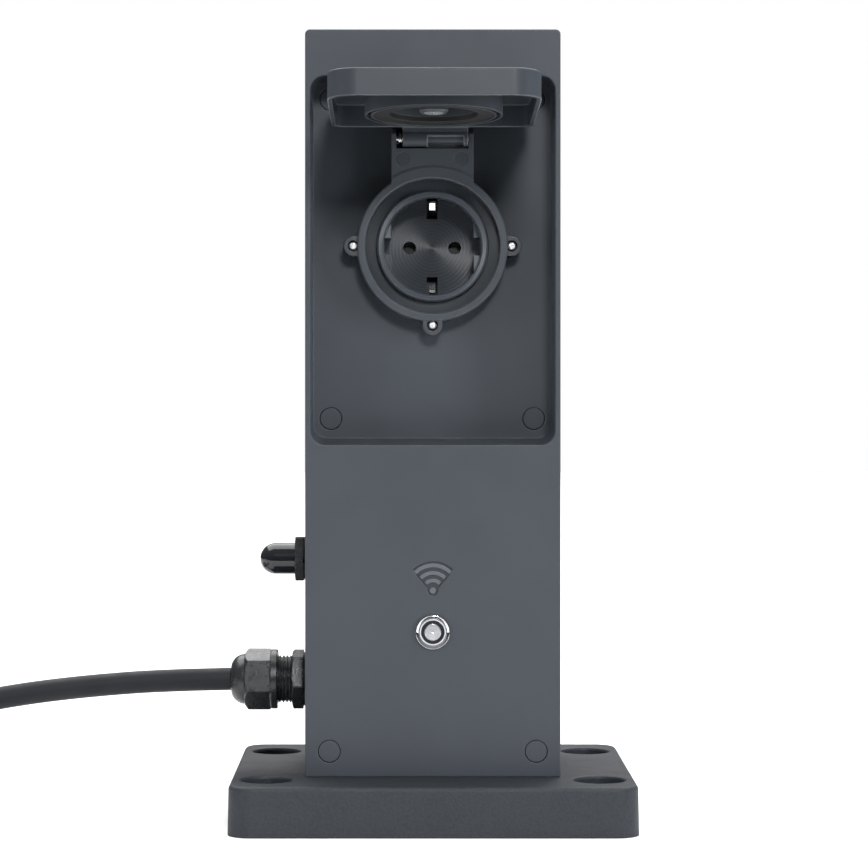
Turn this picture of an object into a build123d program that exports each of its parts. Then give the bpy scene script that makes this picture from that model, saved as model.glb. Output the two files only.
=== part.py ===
from build123d import *
import os
from math import cos, sin, tan, radians, pi

# Garden power post: a weighted foot, a two-part post with one covered earthed socket in a front recess,
# a push button, a stub antenna and a cable gland on the left side, and a mains cord with its plug.
# Frame: millimetres, origin on the ground under the middle of the foot's four anchor holes,
# +Z up, -Y out of the front face, +X to the right when looking at the front.

# ---------------------------------------------------------------- driving dimensions
# foot
foot_width = 165.4
foot_depth = 129.0
foot_height = 20.2
foot_corner_r = 9.5
foot_edge_r = 1.8
anchor_spacing_x = 135.2
anchor_spacing_y = 84.0
anchor_hole_r = 4.5
anchor_sink_r = 10.3
anchor_sink_depth = 8.0
anchor_rim_r = 1.2
foot_screw_r = 2.5
foot_screw_head_r = 4.4
foot_screw_head_h = 4.5
foot_screw_sink = 10.0
foot_screw_x = 28.0
foot_screw_y = (-5.0, 27.0)

# post shells
post_width = 104.6
post_depth = 71.6
post_height = 306.0
post_corner_r = 2.0
post_edge_r = 0.5
cover_wall = 2.2
cover_plate = 2.5
housing_wall = 3.0
housing_floor = 4.0

# recess in the front cover
recess_width = 100.2
recess_height = 151.1
recess_depth = 20.0
recess_top_margin = 19.0
recess_corner_r = 6.0
recess_side_draft = 0.6
recess_sill_rise = 2.3
recess_floor_wall = 2.5

# cover screws under flush caps
cap_r = 4.55
cap_gap = 0.2
cap_thick = 1.9
screw_inset_x = 10.0
recess_screw_rise = 10.5
recess_screw_drop = 7.6
front_screw_rise = 10.5
screw_head_r = 3.5
screw_head_h = 3.6
screw_r = 2.0
screw_seat_depth = 6.0
screw_grip = 12.0
boss_r = 6.0
boss_reach = 5.3
fit_gap = 0.1

# seam gasket
gasket_groove_w = 1.2
gasket_groove_depth = 1.5
gasket_inset = 0.9

# socket
socket_drop = 69.1
flange_r = 31.2
flange_proud = 9.9
groove_outer_r = 27.9
groove_floor = 5.5
collar_r = 23.05
collar_proud = 9.1
collar_gap = 0.25
well_r = 20.1
well_depth = 17.5
face_plate = 4.4
insert_shoulder_r = 26.0
insert_shoulder_h = 1.5
pin_hole_r = 2.65
pin_spacing = 19.0
lug_reach = 32.8
lug_r = 4.1
lug_h = 9.3
lug_screw_r = 1.1
lug_screw_head_r = 1.7
lug_sink_r = 2.4
lug_sink = 2.2
lug_boss = 8.5
frame_seal_outer = 30.2
frame_seal_inner = 28.2
frame_seal_h = 1.0
guide_x = 17.2
guide_half = 10.0
guide_notch = 3.6
guide_top = 4.0
rear_block_r = 20.0
rear_block_len = 19.0
shutter_cavity = 3.0
shutter_cavity_r = 14.0
shutter_thick = 2.4
contact_r = 3.2
contact_bore_r = 2.45
terminal_r = 1.5
terminal_rise = 10.0
shutter_pivot_r = 1.6
shutter_half = 3.1
earth_slot_w = 4.5
earth_slot_in = 12.2
earth_slot_out = 21.6
earth_strip = 0.8
earth_strip_w = 2.4
earth_leg = 20.95
earth_crest = 15.6
earth_crest_z = 1.0

# hinge on the socket frame
bracket_width = 33.8
bracket_face = 9.3
bracket_rise = 48.6
ear_thick = 1.9
pin_rise = 44.6
pin_out = 7.0
pin_r = 1.25
pin_running_gap = 0.06
barrel_r = 3.8
barrel_left = -12.3
barrel_right = 14.7
slot_clear = 0.5
bracket_back = 1.5
plug_disc_r = 2.65
plug_disc_x = 12.1
plug_disc_rise = 36.0

# lid, measured along the lid from the pin and up from the pin to its outer face
lid_width = 83.1
lid_near = 3.0
lid_far = 79.9
lid_rim = 4.2
lid_height = 10.9
lid_wall = 1.7
lid_top = 1.8
lid_front_r = 11.5
lid_back_r = 5.5
lid_open_tilt = 3.5
seal_outer_r = 27.4
seal_inner_r = 24.2
seal_lip = 0.8
seal_end = 2.0
pad_end = 2.4
pad_hole_r = 17.65
pad_thick = 2.1
lid_boss_r = 5.8
lid_boss_end = 3.0
lid_screw_r = 1.5
lid_screw_head_r = 3.9
knuckle_notch = (-2.1, 13.0)

# button
button_rise = 59.3
button_bezel_r = 7.05
button_ring_r = 5.4
button_ring_inner_r = 4.85
button_cap_r = 3.45
button_barrel_r = 6.0
button_barrel_len = 24.0
button_travel = 1.5
button_seal_r = 6.9
button_seal_h = 0.9

# side fittings
gland_rise = 36.2
gland_hex = 22.5
gland_thread_r = 10.0
gland_body_hex_h = 4.8
gland_thread_seen = 6.1
gland_thread_pitch = 1.5
gland_thread_depth = 0.95
gland_flange_r = 12.5
gland_flange_h = 3.0
gland_cap_hex_h = 10.9
gland_dome_r = 10.55
gland_dome_h = 6.0
gland_washer_h = 1.8
gland_washer_r = 11.2
gland_turn = 21.0
gland_cap_turn = 12.0
gland_bore_r = 7.2
gland_inner_thread = 5.5
seal_tip_r = 6.2
antenna_rise = 87.1
antenna_r = 6.6
antenna_len = 14.9
antenna_hex = 18.0
antenna_nut_h = 3.9
antenna_washer_h = 1.5
antenna_stub_r = 4.5

# wireless symbol on the front
symbol_rise = 76.3
symbol_half_angle = 43.0
symbol_sink = 0.45
symbol_relief = 0.35

# inside
board_w = 60.0
board_h = 110.0
board_thick = 1.6
board_standoff = 7.0
board_bottom = 58.0
board_screw_r = 1.5
board_screw_inset = 4.0
wire_r = 1.15
wire_x = (-11.0, 0.0, 11.0)

# cord
cord_r = 4.75
coil_turn_r = 52.0
coil_layers = 2
coil_centre = (-264.0, 58.0)
cord_route = [
    (-84.9, 0.0, 56.4), (-113.0, 0.4, 55.8), (-143.0, 0.2, 53.6), (-173.0, -0.6, 50.2),
    (-203.0, -1.6, 44.6), (-233.0, -1.4, 37.4), (-262.0, 1.4, 30.2), (-290.0, 9.5, 24.4),
    (-310.0, 26.5, 19.8), (-320.4, 50.0, 16.6), (-319.6, 74.0, 14.6),
]
coil_side_arc = 214.0
coil_side_bite = 0.25
tie_turn = -62.0
tie_width = 12.0
tail_route = [
    (-198.0, 60.0, 4.75), (-198.4, 34.0, 4.75), (-199.6, 20.0, 8.3), (-201.4, 7.2, 15.1),
    (-203.2, -6.5, 18.6), (-204.2, -20.0, 18.6),
]
plug_r = 18.5
plug_len = 34.0
plug_relief_len = 30.0
plug_pin_r = 2.4
plug_pin_len = 19.0
plug_pin_root_r = 2.9
plug_pin_root = 8.0
plug_pin_tip = 1.4
plug_face_sink = 0.3

# ---------------------------------------------------------------- places worked out from the dimensions
half_w = post_width / 2
front_y = -post_depth / 2
back_y = post_depth / 2
recess_floor_y = front_y + recess_depth
seam_y = recess_floor_y + recess_floor_wall
post_bottom = foot_height
post_top = foot_height + post_height
recess_top = post_top - recess_top_margin
recess_bottom = recess_top - recess_height
screw_x = half_w - screw_inset_x
recess_screw_z = (recess_bottom + recess_screw_rise, recess_top - recess_screw_drop)
front_screw_z = post_bottom + front_screw_rise
boss_end_y = seam_y + boss_reach
socket_z = recess_top - socket_drop
pin_y = recess_floor_y - pin_out
pin_z = socket_z + pin_rise
button_z = post_bottom + button_rise
gland_z = post_bottom + gland_rise
antenna_z = post_bottom + antenna_rise
symbol_z = post_bottom + symbol_rise
left_x = -half_w
board_y = back_y - housing_wall - board_standoff
board_z = post_bottom + board_bottom
foot_screw_places = [(x, y) for x in (-foot_screw_x, foot_screw_x) for y in foot_screw_y]
lug_places = [(-lug_reach, 0.0), (lug_reach, 0.0), (0.0, -lug_reach)]
board_screw_x = board_w / 2 - board_screw_inset
board_screw_z = (board_z + board_screw_inset, board_z + board_h - board_screw_inset)
board_screw_places = [(x, z) for x in (-board_screw_x, board_screw_x) for z in board_screw_z]

os.makedirs("parts", exist_ok=True)


# ---------------------------------------------------------------- small helpers
def block(x0, x1, y0, y1, z0, z1):
    """A box between two opposite corners."""
    return Pos((x0 + x1) / 2, (y0 + y1) / 2, (z0 + z1) / 2) * Box(x1 - x0, y1 - y0, z1 - z0)


def rod(r, start, end, x=0.0, y=0.0):
    """A cylinder along +Z from start to end."""
    return Pos(x, y, (start + end) / 2) * Cylinder(r, end - start)


def tube(r, bore, start, end, x=0.0, y=0.0):
    """A hollow cylinder along +Z."""
    return rod(r, start, end, x, y) - rod(bore, start, end, x, y)


def hexagon(across_flats, start, end, turn=0.0):
    """A hexagonal prism along +Z, turned about its axis."""
    outline = Rot(0, 0, turn) * RegularPolygon(across_flats / 2, 6, major_radius=False)
    return Pos(0, 0, start) * extrude(outline, end - start)


def turned(*corners):
    """A solid of revolution about +Z from (radius, height) corners."""
    return revolve(Plane.XZ * make_face(Polyline(*corners, close=True)), Axis.Z)


def at_front(y, x=0.0, z=0.0):
    """A frame whose own +Z comes out of the front and whose +Y is up."""
    return Pos(x, y, z) * Rot(90, 0, 0)


def at_side(x, y, z):
    """A frame whose own +Z points out of the left side (-X)."""
    return Pos(x, y, z) * Rot(0, -90, 0)


def spring(r, wire, pitch, turns, start):
    """A coil spring along +Z."""
    path = Pos(0, 0, start) * Helix(pitch, pitch * turns, r)
    return sweep(Plane(path @ 0, z_dir=path % 0) * Circle(wire), path)


def cord_tube(points, r, share=0.45, smallest=None):
    """A round tube along straight runs joined by arcs as large as the runs allow."""
    radii = []
    for a, b, c in zip(points, points[1:], points[2:]):
        into, out = Vector(*b) - Vector(*a), Vector(*c) - Vector(*b)
        half_turn = radians(into.get_angle(out)) / 2
        radius = share * min(into.length, out.length) / tan(half_turn)
        radii.append(min(radius, smallest) if smallest else radius)
    path = FilletPolyline(*points, radius=radii)
    section = Plane(path @ 0, z_dir=path % 0) * Circle(r)
    body = sweep(section, path)
    return body, path.length, radii


def save(node, *solids):
    """Write one node, its pieces as separate solids."""
    pieces = [s for shape in solids for s in shape.solids()]
    shape = pieces[0] if len(pieces) == 1 else Compound(children=pieces)
    export_step(shape, "parts/" + node + ".step")


def post_outline():
    """The post's front outline in a front frame with its own origin on the ground."""
    outline = Pos(0, post_bottom + post_height / 2) * Rectangle(post_width, post_height)
    return fillet(outline.vertices().group_by(Axis.Y)[-1], post_corner_r)


# ---------------------------------------------------------------- foot
def make_foot():
    foot = extrude(RectangleRounded(foot_width, foot_depth, foot_corner_r), foot_height, taper=1.0)
    foot = fillet(foot.faces().sort_by(Axis.Z)[-1].edges(), foot_edge_r)
    for x in (-anchor_spacing_x / 2, anchor_spacing_x / 2):
        for y in (-anchor_spacing_y / 2, anchor_spacing_y / 2):
            top = foot_height
            sink = turned((0, top - anchor_sink_depth), (anchor_sink_r, top - anchor_sink_depth),
                          (anchor_sink_r, top - anchor_rim_r),
                          (anchor_sink_r + anchor_rim_r * 0.3, top - anchor_rim_r * 0.3),
                          (anchor_sink_r + anchor_rim_r, top), (0, top))
            foot -= Pos(x, y, 0) * sink + rod(anchor_hole_r, 0, top, x, y)
    screws = []
    for x, y in foot_screw_places:
        foot -= rod(foot_screw_head_r + fit_gap, 0, foot_screw_sink, x, y) + rod(foot_screw_r + fit_gap,
                0, foot_height, x, y)
        head = rod(foot_screw_head_r, foot_screw_sink - foot_screw_head_h, foot_screw_sink, x, y)
        head -= Pos(x, y, 0) * hexagon(3.0, foot_screw_sink - foot_screw_head_h, foot_screw_sink - 1.6)
        screws.append(head + rod(foot_screw_r, foot_screw_sink, foot_height + housing_floor + 4.0, x, y))
    save("base_foot", foot)
    save("foot_screws", *screws)


# ---------------------------------------------------------------- post shells
def cover_screw_places():
    """(x, z, y of the face that the screw's cap is flush with)."""
    places = [(x, z, recess_floor_y) for z in recess_screw_z for x in (-screw_x, screw_x)]
    return places + [(x, front_screw_z, front_y) for x in (-screw_x, screw_x)]


def symbol_arcs(grow):
    """The wireless symbol's three arcs and dot as a flat face, grown by a margin."""
    wedge = make_face(Polyline((0, -0.2), (20 * sin(radians(symbol_half_angle)),
                                           20 * cos(radians(symbol_half_angle))),
                               (0, 24), (-20 * sin(radians(symbol_half_angle)),
                                         20 * cos(radians(symbol_half_angle))),
                               close=True))
    shape = Circle(1.25 + grow)
    for radius in (4.1, 7.2, 10.3):
        shape += (Circle(radius + 0.75 + grow) - Circle(radius - 0.75 - grow)) & wedge
    return shape


def make_front_cover():
    depth = seam_y - front_y
    cover = extrude(post_outline(), depth)
    mouth = Pos(0, recess_bottom + recess_height / 2, depth) * RectangleRounded(recess_width,
            recess_height, recess_corner_r)
    floor_height = recess_height - recess_sill_rise - recess_side_draft
    floor_middle = recess_bottom + recess_sill_rise + floor_height / 2
    floor = Pos(0, floor_middle, depth - recess_depth) * RectangleRounded(
        recess_width - 2 * recess_side_draft, floor_height, recess_corner_r)
    cover -= loft([floor, mouth])
    cover = fillet(cover.edges().filter_by_position(Axis.Z, depth - 0.01, depth + 0.01), post_edge_r)
    inner = half_w - cover_wall
    cover -= block(-inner, inner, post_bottom + cover_wall, recess_bottom - cover_wall, 0,
                   depth - cover_plate)
    cover -= block(-inner, inner, recess_top + cover_wall, post_top - cover_wall, 0, depth - cover_plate)
    cover = at_front(seam_y) * cover
    screws, caps = [], []
    for x, z, y in cover_screw_places():
        place = at_front(y, x, z)
        end = y - boss_end_y
        boss = rod(boss_r, end, -0.5)
        cover += place * boss
        cover -= place * (rod(cap_r + cap_gap, -cap_thick - fit_gap, 1)
                          + rod(screw_head_r + 0.4, -screw_seat_depth, 0)
                          + rod(screw_r + fit_gap, end, 0))
        caps.append(place * (rod(cap_r, -cap_thick - fit_gap, -fit_gap - 0.3)
                             + Pos(0, 0, -fit_gap - 0.3) * Cone(cap_r, cap_r - 0.3, 0.3,
                                                                align=(Align.CENTER, Align.CENTER, Align.MIN))))
        screw = rod(screw_head_r, -screw_seat_depth, -screw_seat_depth + screw_head_h) + rod(screw_r,
                end - screw_grip, -screw_seat_depth)
        screw -= hexagon(3.0, -screw_seat_depth + screw_head_h - 2.0, -screw_seat_depth + screw_head_h)
        screws.append(place * screw)
    # socket opening with the seat of the insert's shoulder, and the frame's screw bosses
    socket = at_front(recess_floor_y, 0, socket_z)
    for x, z in lug_places:
        cover += socket * rod(3.2, -lug_boss, -0.5, x, z)
        cover -= socket * rod(lug_screw_r + 0.05, -lug_boss, 0, x, z)
    cover -= socket * (rod(collar_r + 0.6, -recess_floor_wall - 1, 1)
                       + rod(insert_shoulder_r + fit_gap, -insert_shoulder_h, 0))
    # button hole with the seal's seat
    front = at_front(front_y, 0, button_z)
    cover -= front * (rod(button_barrel_r + fit_gap, -cover_plate - 1, 1)
                      + rod(button_seal_r + fit_gap, -button_seal_h, 0))
    # wireless symbol in a shallow sunk field
    sign = at_front(front_y, 0, symbol_z)
    field = symbol_arcs(1.0) + make_face(Polyline((-1.6, 0), (1.6, 0), (7.2, 6.6), (0, 9.0), (-7.2, 6.6),
                                                  close=True))
    cover -= sign * (Pos(0, 0, -symbol_sink) * extrude(field, symbol_sink + 0.1))
    cover += sign * (Pos(0, 0, -symbol_sink - 0.1) * extrude(symbol_arcs(0), symbol_relief + 0.1))
    save("front_cover", cover)
    save("cover_screws", *screws)
    save("screw_caps", *caps)


def make_rear_housing():
    depth = back_y - seam_y
    shell = extrude(post_outline(), -depth)
    rear = shell.faces().sort_by(Axis.Z)[0].edges()
    shell = fillet(rear, 1.5)
    inner = half_w - housing_wall
    shell -= block(-inner, inner, post_bottom + housing_floor, post_top - housing_wall,
                   -depth + housing_wall, 0)
    inset = gasket_inset
    outer_loop = Pos(0, post_bottom + post_height / 2) * RectangleRounded(
        post_width - 2 * inset, post_height - 2 * inset, 2.0)
    inner_loop = Pos(0, post_bottom + post_height / 2) * RectangleRounded(
        post_width - 2 * inset - 2 * gasket_groove_w, post_height - 2 * inset - 2 * gasket_groove_w, 0.8)
    ring = Pos(0, 0, -gasket_groove_depth) * extrude(outer_loop - inner_loop, gasket_groove_depth)
    shell -= ring
    gap = fit_gap / 2
    ring_outer = Pos(0, post_bottom + post_height / 2) * RectangleRounded(
        post_width - 2 * inset - 2 * gap, post_height - 2 * inset - 2 * gap, 2.0)
    ring_inner = Pos(0, post_bottom + post_height / 2) * RectangleRounded(
        post_width - 2 * inset - 2 * gasket_groove_w + 2 * gap,
        post_height - 2 * inset - 2 * gasket_groove_w + 2 * gap, 0.8)
    gasket = at_front(seam_y) * (Pos(0, 0, -gasket_groove_depth) * extrude(ring_outer - ring_inner,
            gasket_groove_depth))
    shell = at_front(seam_y) * shell
    for x, z, _ in cover_screw_places():
        pillar = at_front(boss_end_y, x, z) * rod(boss_r - 1.0, boss_end_y - back_y + 1.0, 0)
        shell += pillar
        shell -= at_front(boss_end_y, x, z) * rod(screw_r + 0.05, -screw_grip - 1.0, 0)
    for x, z in board_screw_places:
        post = at_front(board_y, x, z) * rod(3.5, -board_standoff - 1.0, 0)
        shell += post
        shell -= at_front(board_y, x, z) * rod(board_screw_r + 0.05, -board_standoff + 0.5, 0)
    for x, y in foot_screw_places:
        shell += rod(5.5, post_bottom + 1.0, post_bottom + housing_floor + 5.0, x, y)
        shell -= rod(foot_screw_r + 0.05, post_bottom, post_bottom + housing_floor + 4.2, x, y)
    shell -= at_side(left_x, 0, gland_z) * rod(gland_thread_r + fit_gap, -housing_wall - 1, 1)
    shell -= at_side(left_x, 0, antenna_z) * rod(antenna_stub_r + fit_gap, -housing_wall - 1, 1)
    save("rear_housing", shell)
    save("housing_gasket", gasket)


# ---------------------------------------------------------------- socket, in a front frame on the recess floor
def make_socket():
    place = at_front(recess_floor_y, 0, socket_z)
    # frame: flange ring, three lugs and the hinge bracket
    ring = turned((groove_outer_r, groove_floor), (groove_outer_r, flange_proud - 0.5),
                  (groove_outer_r + 0.5, flange_proud),
                  (flange_r - 0.6, flange_proud), (flange_r, flange_proud - 0.6), (flange_r, 0),
                  (collar_r + collar_gap, 0), (collar_r + collar_gap, groove_floor))
    frame = ring
    for x, z in lug_places:
        direction = Vector(x, z).normalized()
        bridge = Pos(x - direction.X * 2, z - direction.Y * 2, lug_h / 2) * Box(
            2 * lug_r if x == 0 else 4.0, 2 * lug_r if x != 0 else 4.0, lug_h)
        lug = rod(lug_r, 0, lug_h, x, z) + bridge
        lug -= rod(flange_r - 0.5, 0, lug_h)
        frame += fillet(lug.edges().filter_by(GeomType.CIRCLE).group_by(Axis.Z)[-1].filter_by(
            lambda e: abs(e.radius - lug_r) < 0.01), 0.5)
        frame -= rod(lug_screw_r + 0.05, 0, lug_h, x, z) + rod(lug_sink_r, lug_h - lug_sink, lug_h, x, z)
    half = bracket_width / 2
    slot_half = half - ear_thick
    slot_low = pin_rise - barrel_r - slot_clear
    bracket = block(-half, half, 15.0, bracket_rise, 0, bracket_face)
    bracket -= rod(flange_r - 0.5, 0, bracket_face)
    bracket -= block(-slot_half, slot_half, slot_low, bracket_rise + 1, bracket_back, bracket_face + 1)
    bracket = chamfer(bracket.edges().filter_by(Axis.X).filter_by_position(Axis.Y, bracket_rise - 0.1,
            bracket_rise + 0.1)
                      .filter_by_position(Axis.Z, bracket_face - 0.1, bracket_face + 0.1), 2.2)
    shoulder = turned((flange_r - 0.6, bracket_face), (flange_r - 0.6, flange_proud),
                      (flange_r + 1.1, flange_proud),
                      (flange_r + 2.3, bracket_face))
    bracket += shoulder & block(-half, half, 15.0, bracket_rise, 0, flange_proud + 1)
    frame += bracket
    frame -= Pos(0, pin_rise, pin_out) * Rot(0, 90, 0) * rod(pin_r, -half, half)
    discs = []
    for x in (-plug_disc_x, plug_disc_x):
        frame -= rod(plug_disc_r + 0.12, bracket_face - 1.6, bracket_face, x, plug_disc_rise)
        discs.append(place * rod(plug_disc_r, bracket_face - 1.6, bracket_face - 0.05, x, plug_disc_rise))
    seal_groove = tube(frame_seal_outer, frame_seal_inner, 0, frame_seal_h)
    frame -= seal_groove
    save("socket_frame", place * frame)
    save("socket_frame_gasket", place * tube(frame_seal_outer - 0.05, frame_seal_inner + 0.05, 0,
                                             frame_seal_h))
    save("bracket_plugs", *discs)
    screws = []
    for x, z in lug_places:
        seat = lug_h - lug_sink
        head = turned((0, seat), (lug_screw_head_r, seat), (lug_screw_head_r, seat + 1.0),
                      (lug_screw_head_r - 0.5, seat + 1.5),
                      (0, seat + 1.6))
        screw = Pos(x, z, 0) * (head + rod(lug_screw_r, -lug_boss + 0.6, seat))
        for turn in (0, 90):
            screw -= Pos(x, z, seat + 1.3) * Rot(0, 0, turn + 20) * Box(0.45, 2.2, 0.9)
        screws.append(place * screw)
    save("socket_frame_screws", *screws)

    # insert: collar, well, face plate with pin holes, side guides and earth slots
    face = flange_proud - well_depth
    plate_back = face - face_plate
    insert = turned((0, plate_back), (collar_r, plate_back), (collar_r, -insert_shoulder_h),
                    (insert_shoulder_r, -insert_shoulder_h),
                    (insert_shoulder_r, 0), (collar_r, 0), (collar_r, collar_proud - 1.2),
                    (collar_r - 0.8, collar_proud),
                    (well_r + 0.7, collar_proud), (well_r, collar_proud - 0.9), (well_r, face), (0, face))
    for side in (-1, 1):
        x0, x1 = sorted((side * guide_x, side * (well_r + 0.5)))
        guide = block(x0, x1, -guide_half, guide_half, face - 0.2, guide_top)
        insert += guide & rod(well_r + 0.5, face - 1, collar_proud)
        n0, n1 = sorted((side * (guide_x - 0.5), side * (well_r - 0.1)))
        insert -= block(n0, n1, -guide_notch, guide_notch, face, collar_proud)
        insert -= rod(pin_hole_r, plate_back, face, side * pin_spacing / 2, 0)
        s0, s1 = sorted((side * earth_slot_in, side * earth_slot_out))
        insert -= block(-earth_slot_w / 2, earth_slot_w / 2, s0, s1, plate_back, face)
        c0, c1 = sorted((side * (well_r - 1.5), side * earth_slot_out))
        insert -= block(-earth_slot_w / 2, earth_slot_w / 2, c0, c1, face, earth_crest_z + 1.5)
    save("socket_insert", place * insert)

    # rear block behind the face plate, with the shutter's cavity, contact bores and pivot
    rear = plate_back - rear_block_len
    block_body = rod(rear_block_r, rear, plate_back)
    block_body -= rod(shutter_cavity_r, plate_back - shutter_cavity, plate_back)
    block_body += rod(shutter_pivot_r, plate_back - shutter_cavity, plate_back)
    contacts, screws = [], []
    floor = plate_back - shutter_cavity
    for side in (-1, 1):
        x = side * pin_spacing / 2
        block_body -= rod(contact_r + 0.05, rear + 2.0, floor, x, 0)
        contacts.append(place * tube(contact_r, contact_bore_r, rear + 2.0, floor - 0.4, x, 0))
        block_body -= rod(terminal_r + 0.05, rear, rear + 6.0, x, terminal_rise)
        screws.append(place * (rod(3.0, rear - 2.2, rear, x, terminal_rise)
                               + rod(terminal_r, rear, rear + 5.8, x, terminal_rise)
                               - Pos(x, terminal_rise, rear - 2.0) * Box(0.7, 4.0, 0.8)))
    block_body -= rod(terminal_r + 0.05, rear, rear + 6.0, 0, -terminal_rise)
    screws.append(place * (rod(3.0, rear - earth_strip - 2.2, rear - earth_strip, 0, -terminal_rise)
                           + rod(terminal_r, rear - earth_strip, rear + 5.8, 0, -terminal_rise)
                           - Pos(0, -terminal_rise, rear - earth_strip - 2.0) * Box(0.7, 4.0, 0.8)))
    save("socket_rear_block", place * block_body)
    save("pin_contacts", *contacts)
    save("terminal_screws", *screws)

    # earth clip: one bent strip, crests inside the well at six and twelve o'clock
    leg, back = earth_leg, rear - earth_strip / 2
    half_path = [(earth_crest, earth_crest_z - 1.5), (earth_crest + 2.6, earth_crest_z),
                 (leg, earth_crest_z - 1.0), (leg, back)]
    points = half_path + [(-u, v) for u, v in reversed(half_path)]
    strip = trace(Polyline(*points), earth_strip)
    clip = extrude(Plane.YZ.offset(-earth_strip_w / 2) * strip, earth_strip_w)
    clip -= rod(terminal_r + 0.05, back - 2, back + 2, 0, -terminal_rise)
    save("earth_clip", place * clip)

    # shutter: a bar over both pin holes, turning on the pivot, and its return spring
    arm = Rectangle(pin_spacing + 2 * shutter_half, 2 * shutter_half)
    arm = fillet(arm.vertices(), shutter_half - 0.1) + Circle(4.4)
    low = floor + 0.3
    shutter = Pos(0, 0, low) * extrude(arm, shutter_thick)
    shutter -= rod(shutter_pivot_r + 0.06, floor, plate_back) + rod(3.4, low, low + 1.2)
    save("shutter", place * shutter)
    save("shutter_spring", place * (Pos(0, 0, 0) * spring(2.6, 0.2, 0.55, 1.5, floor + 0.3)))


# ---------------------------------------------------------------- lid, in its own frame at the hinge pin
def make_lid():
    """Own frame: +X right, +Y towards the hinge, so the lid reaches along -Y, +Z to the outer face."""
    place = Pos(0, pin_y, pin_z) * Rot(-lid_open_tilt, 0, 0)
    top = lid_rim + lid_height
    length = lid_far - lid_near

    def plan(inset):
        shape = Pos(0, -(lid_near + lid_far) / 2) * Rectangle(lid_width - 2 * inset, length - 2 * inset)
        ends = shape.vertices().group_by(Axis.Y)
        shape = fillet(ends[0], lid_front_r - inset)
        return fillet(shape.vertices().group_by(Axis.Y)[-1], lid_back_r - inset)

    shell = Pos(0, 0, lid_rim) * extrude(plan(0), lid_height)
    shell = fillet(shell.faces().sort_by(Axis.Z)[-1].edges(), 0.8)
    shell -= Pos(0, 0, lid_rim) * extrude(plan(lid_wall), lid_height - lid_top)
    centre = Pos(0, -pin_rise, 0)
    inner_top = top - lid_top
    stub = tube(2.8, lid_screw_r + 0.05, 6.6, inner_top + 0.5)
    shell += centre * stub
    # knuckle: a barrel on the pin with a web up to the lid's back wall
    knuckle = Rot(0, 90, 0) * rod(barrel_r, barrel_left, barrel_right)
    web = make_face(Polyline((2.6, 0), (2.6, lid_rim + 3.5), (-lid_near - lid_wall, lid_rim + 3.5),
                             (-lid_near - lid_wall, lid_rim), (-lid_near, lid_rim), (-2.6, 0), close=True))
    knuckle += extrude(Plane.YZ.offset(barrel_left) * web, barrel_right - barrel_left)
    notch = block(knuckle_notch[0], knuckle_notch[1], -barrel_r - 1, 0, -barrel_r - 1, 0.6)
    knuckle -= notch - Rot(0, 90, 0) * rod(2.5, barrel_left, barrel_right)
    shell += knuckle
    shell -= Rot(0, 90, 0) * rod(pin_r + pin_running_gap, barrel_left - 1, barrel_right + 1)
    save("lid_shell", place * shell)

    deck = pad_end + pad_thick
    carrier = turned((seal_outer_r - seal_lip, seal_end), (seal_outer_r, seal_end), (seal_outer_r, inner_top),
                     (seal_outer_r - 1.4, inner_top), (seal_outer_r - 1.4, deck + 2.0),
                     (pad_hole_r + 1.3, deck + 2.0),
                     (pad_hole_r + 1.3, inner_top), (pad_hole_r, inner_top), (pad_hole_r, deck),
                     (seal_inner_r, deck), (seal_inner_r, seal_end), (seal_inner_r + seal_lip, seal_end),
                     (seal_inner_r + seal_lip, deck), (seal_outer_r - seal_lip, deck))
    for k in range(4):
        rib = block(seal_inner_r + 0.4, seal_outer_r - 0.4, -0.4, 0.4, seal_end + 0.3, deck + 0.5)
        carrier += Rot(0, 0, 90 * k) * rib
    boss = turned((lid_screw_r + 0.1, lid_boss_end + 1.85), (lid_screw_head_r + 0.35, lid_boss_end),
                  (lid_boss_r - 0.9, lid_boss_end),
                  (lid_boss_r, lid_boss_end + 0.9), (lid_boss_r, inner_top), (3.0, inner_top), (3.0, 6.4),
                  (lid_screw_r + 0.1, 6.4))
    floor = tube(pad_hole_r + 0.4, lid_boss_r - 0.4, inner_top - 1.2, inner_top)
    save("lid_seal_carrier", place * (centre * (carrier + boss + floor)))
    pad = turned((pad_hole_r + 0.3, pad_end), (seal_inner_r - 0.15, pad_end), (seal_inner_r - 0.15, deck),
                 (pad_hole_r, deck),
                 (pad_hole_r, pad_end + 0.3))
    save("lid_gasket", place * (centre * pad))
    screw = turned((0, lid_boss_end), (lid_screw_head_r - 0.4, lid_boss_end),
                   (lid_screw_head_r, lid_boss_end + 0.15),
                   (lid_screw_r, lid_boss_end + 1.75), (lid_screw_r, 12.0), (0, 12.0))
    for turn in (0, 90):
        screw -= Rot(0, 0, turn) * Pos(0, 0, lid_boss_end + 0.5) * Box(0.8, 5.0, 1.2)
    save("lid_screw", place * (centre * screw))
    pin = Pos(0, pin_y, pin_z) * Rot(0, 90, 0) * rod(pin_r, -bracket_width / 2, bracket_width / 2)
    save("hinge_pin", pin)
    coil = Pos(-15.0 + 0.3, pin_y, pin_z) * Rot(0, 90, 0) * spring(2.1, 0.3, 0.75, 2.0, 0.3)
    save("hinge_spring", coil)


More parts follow.
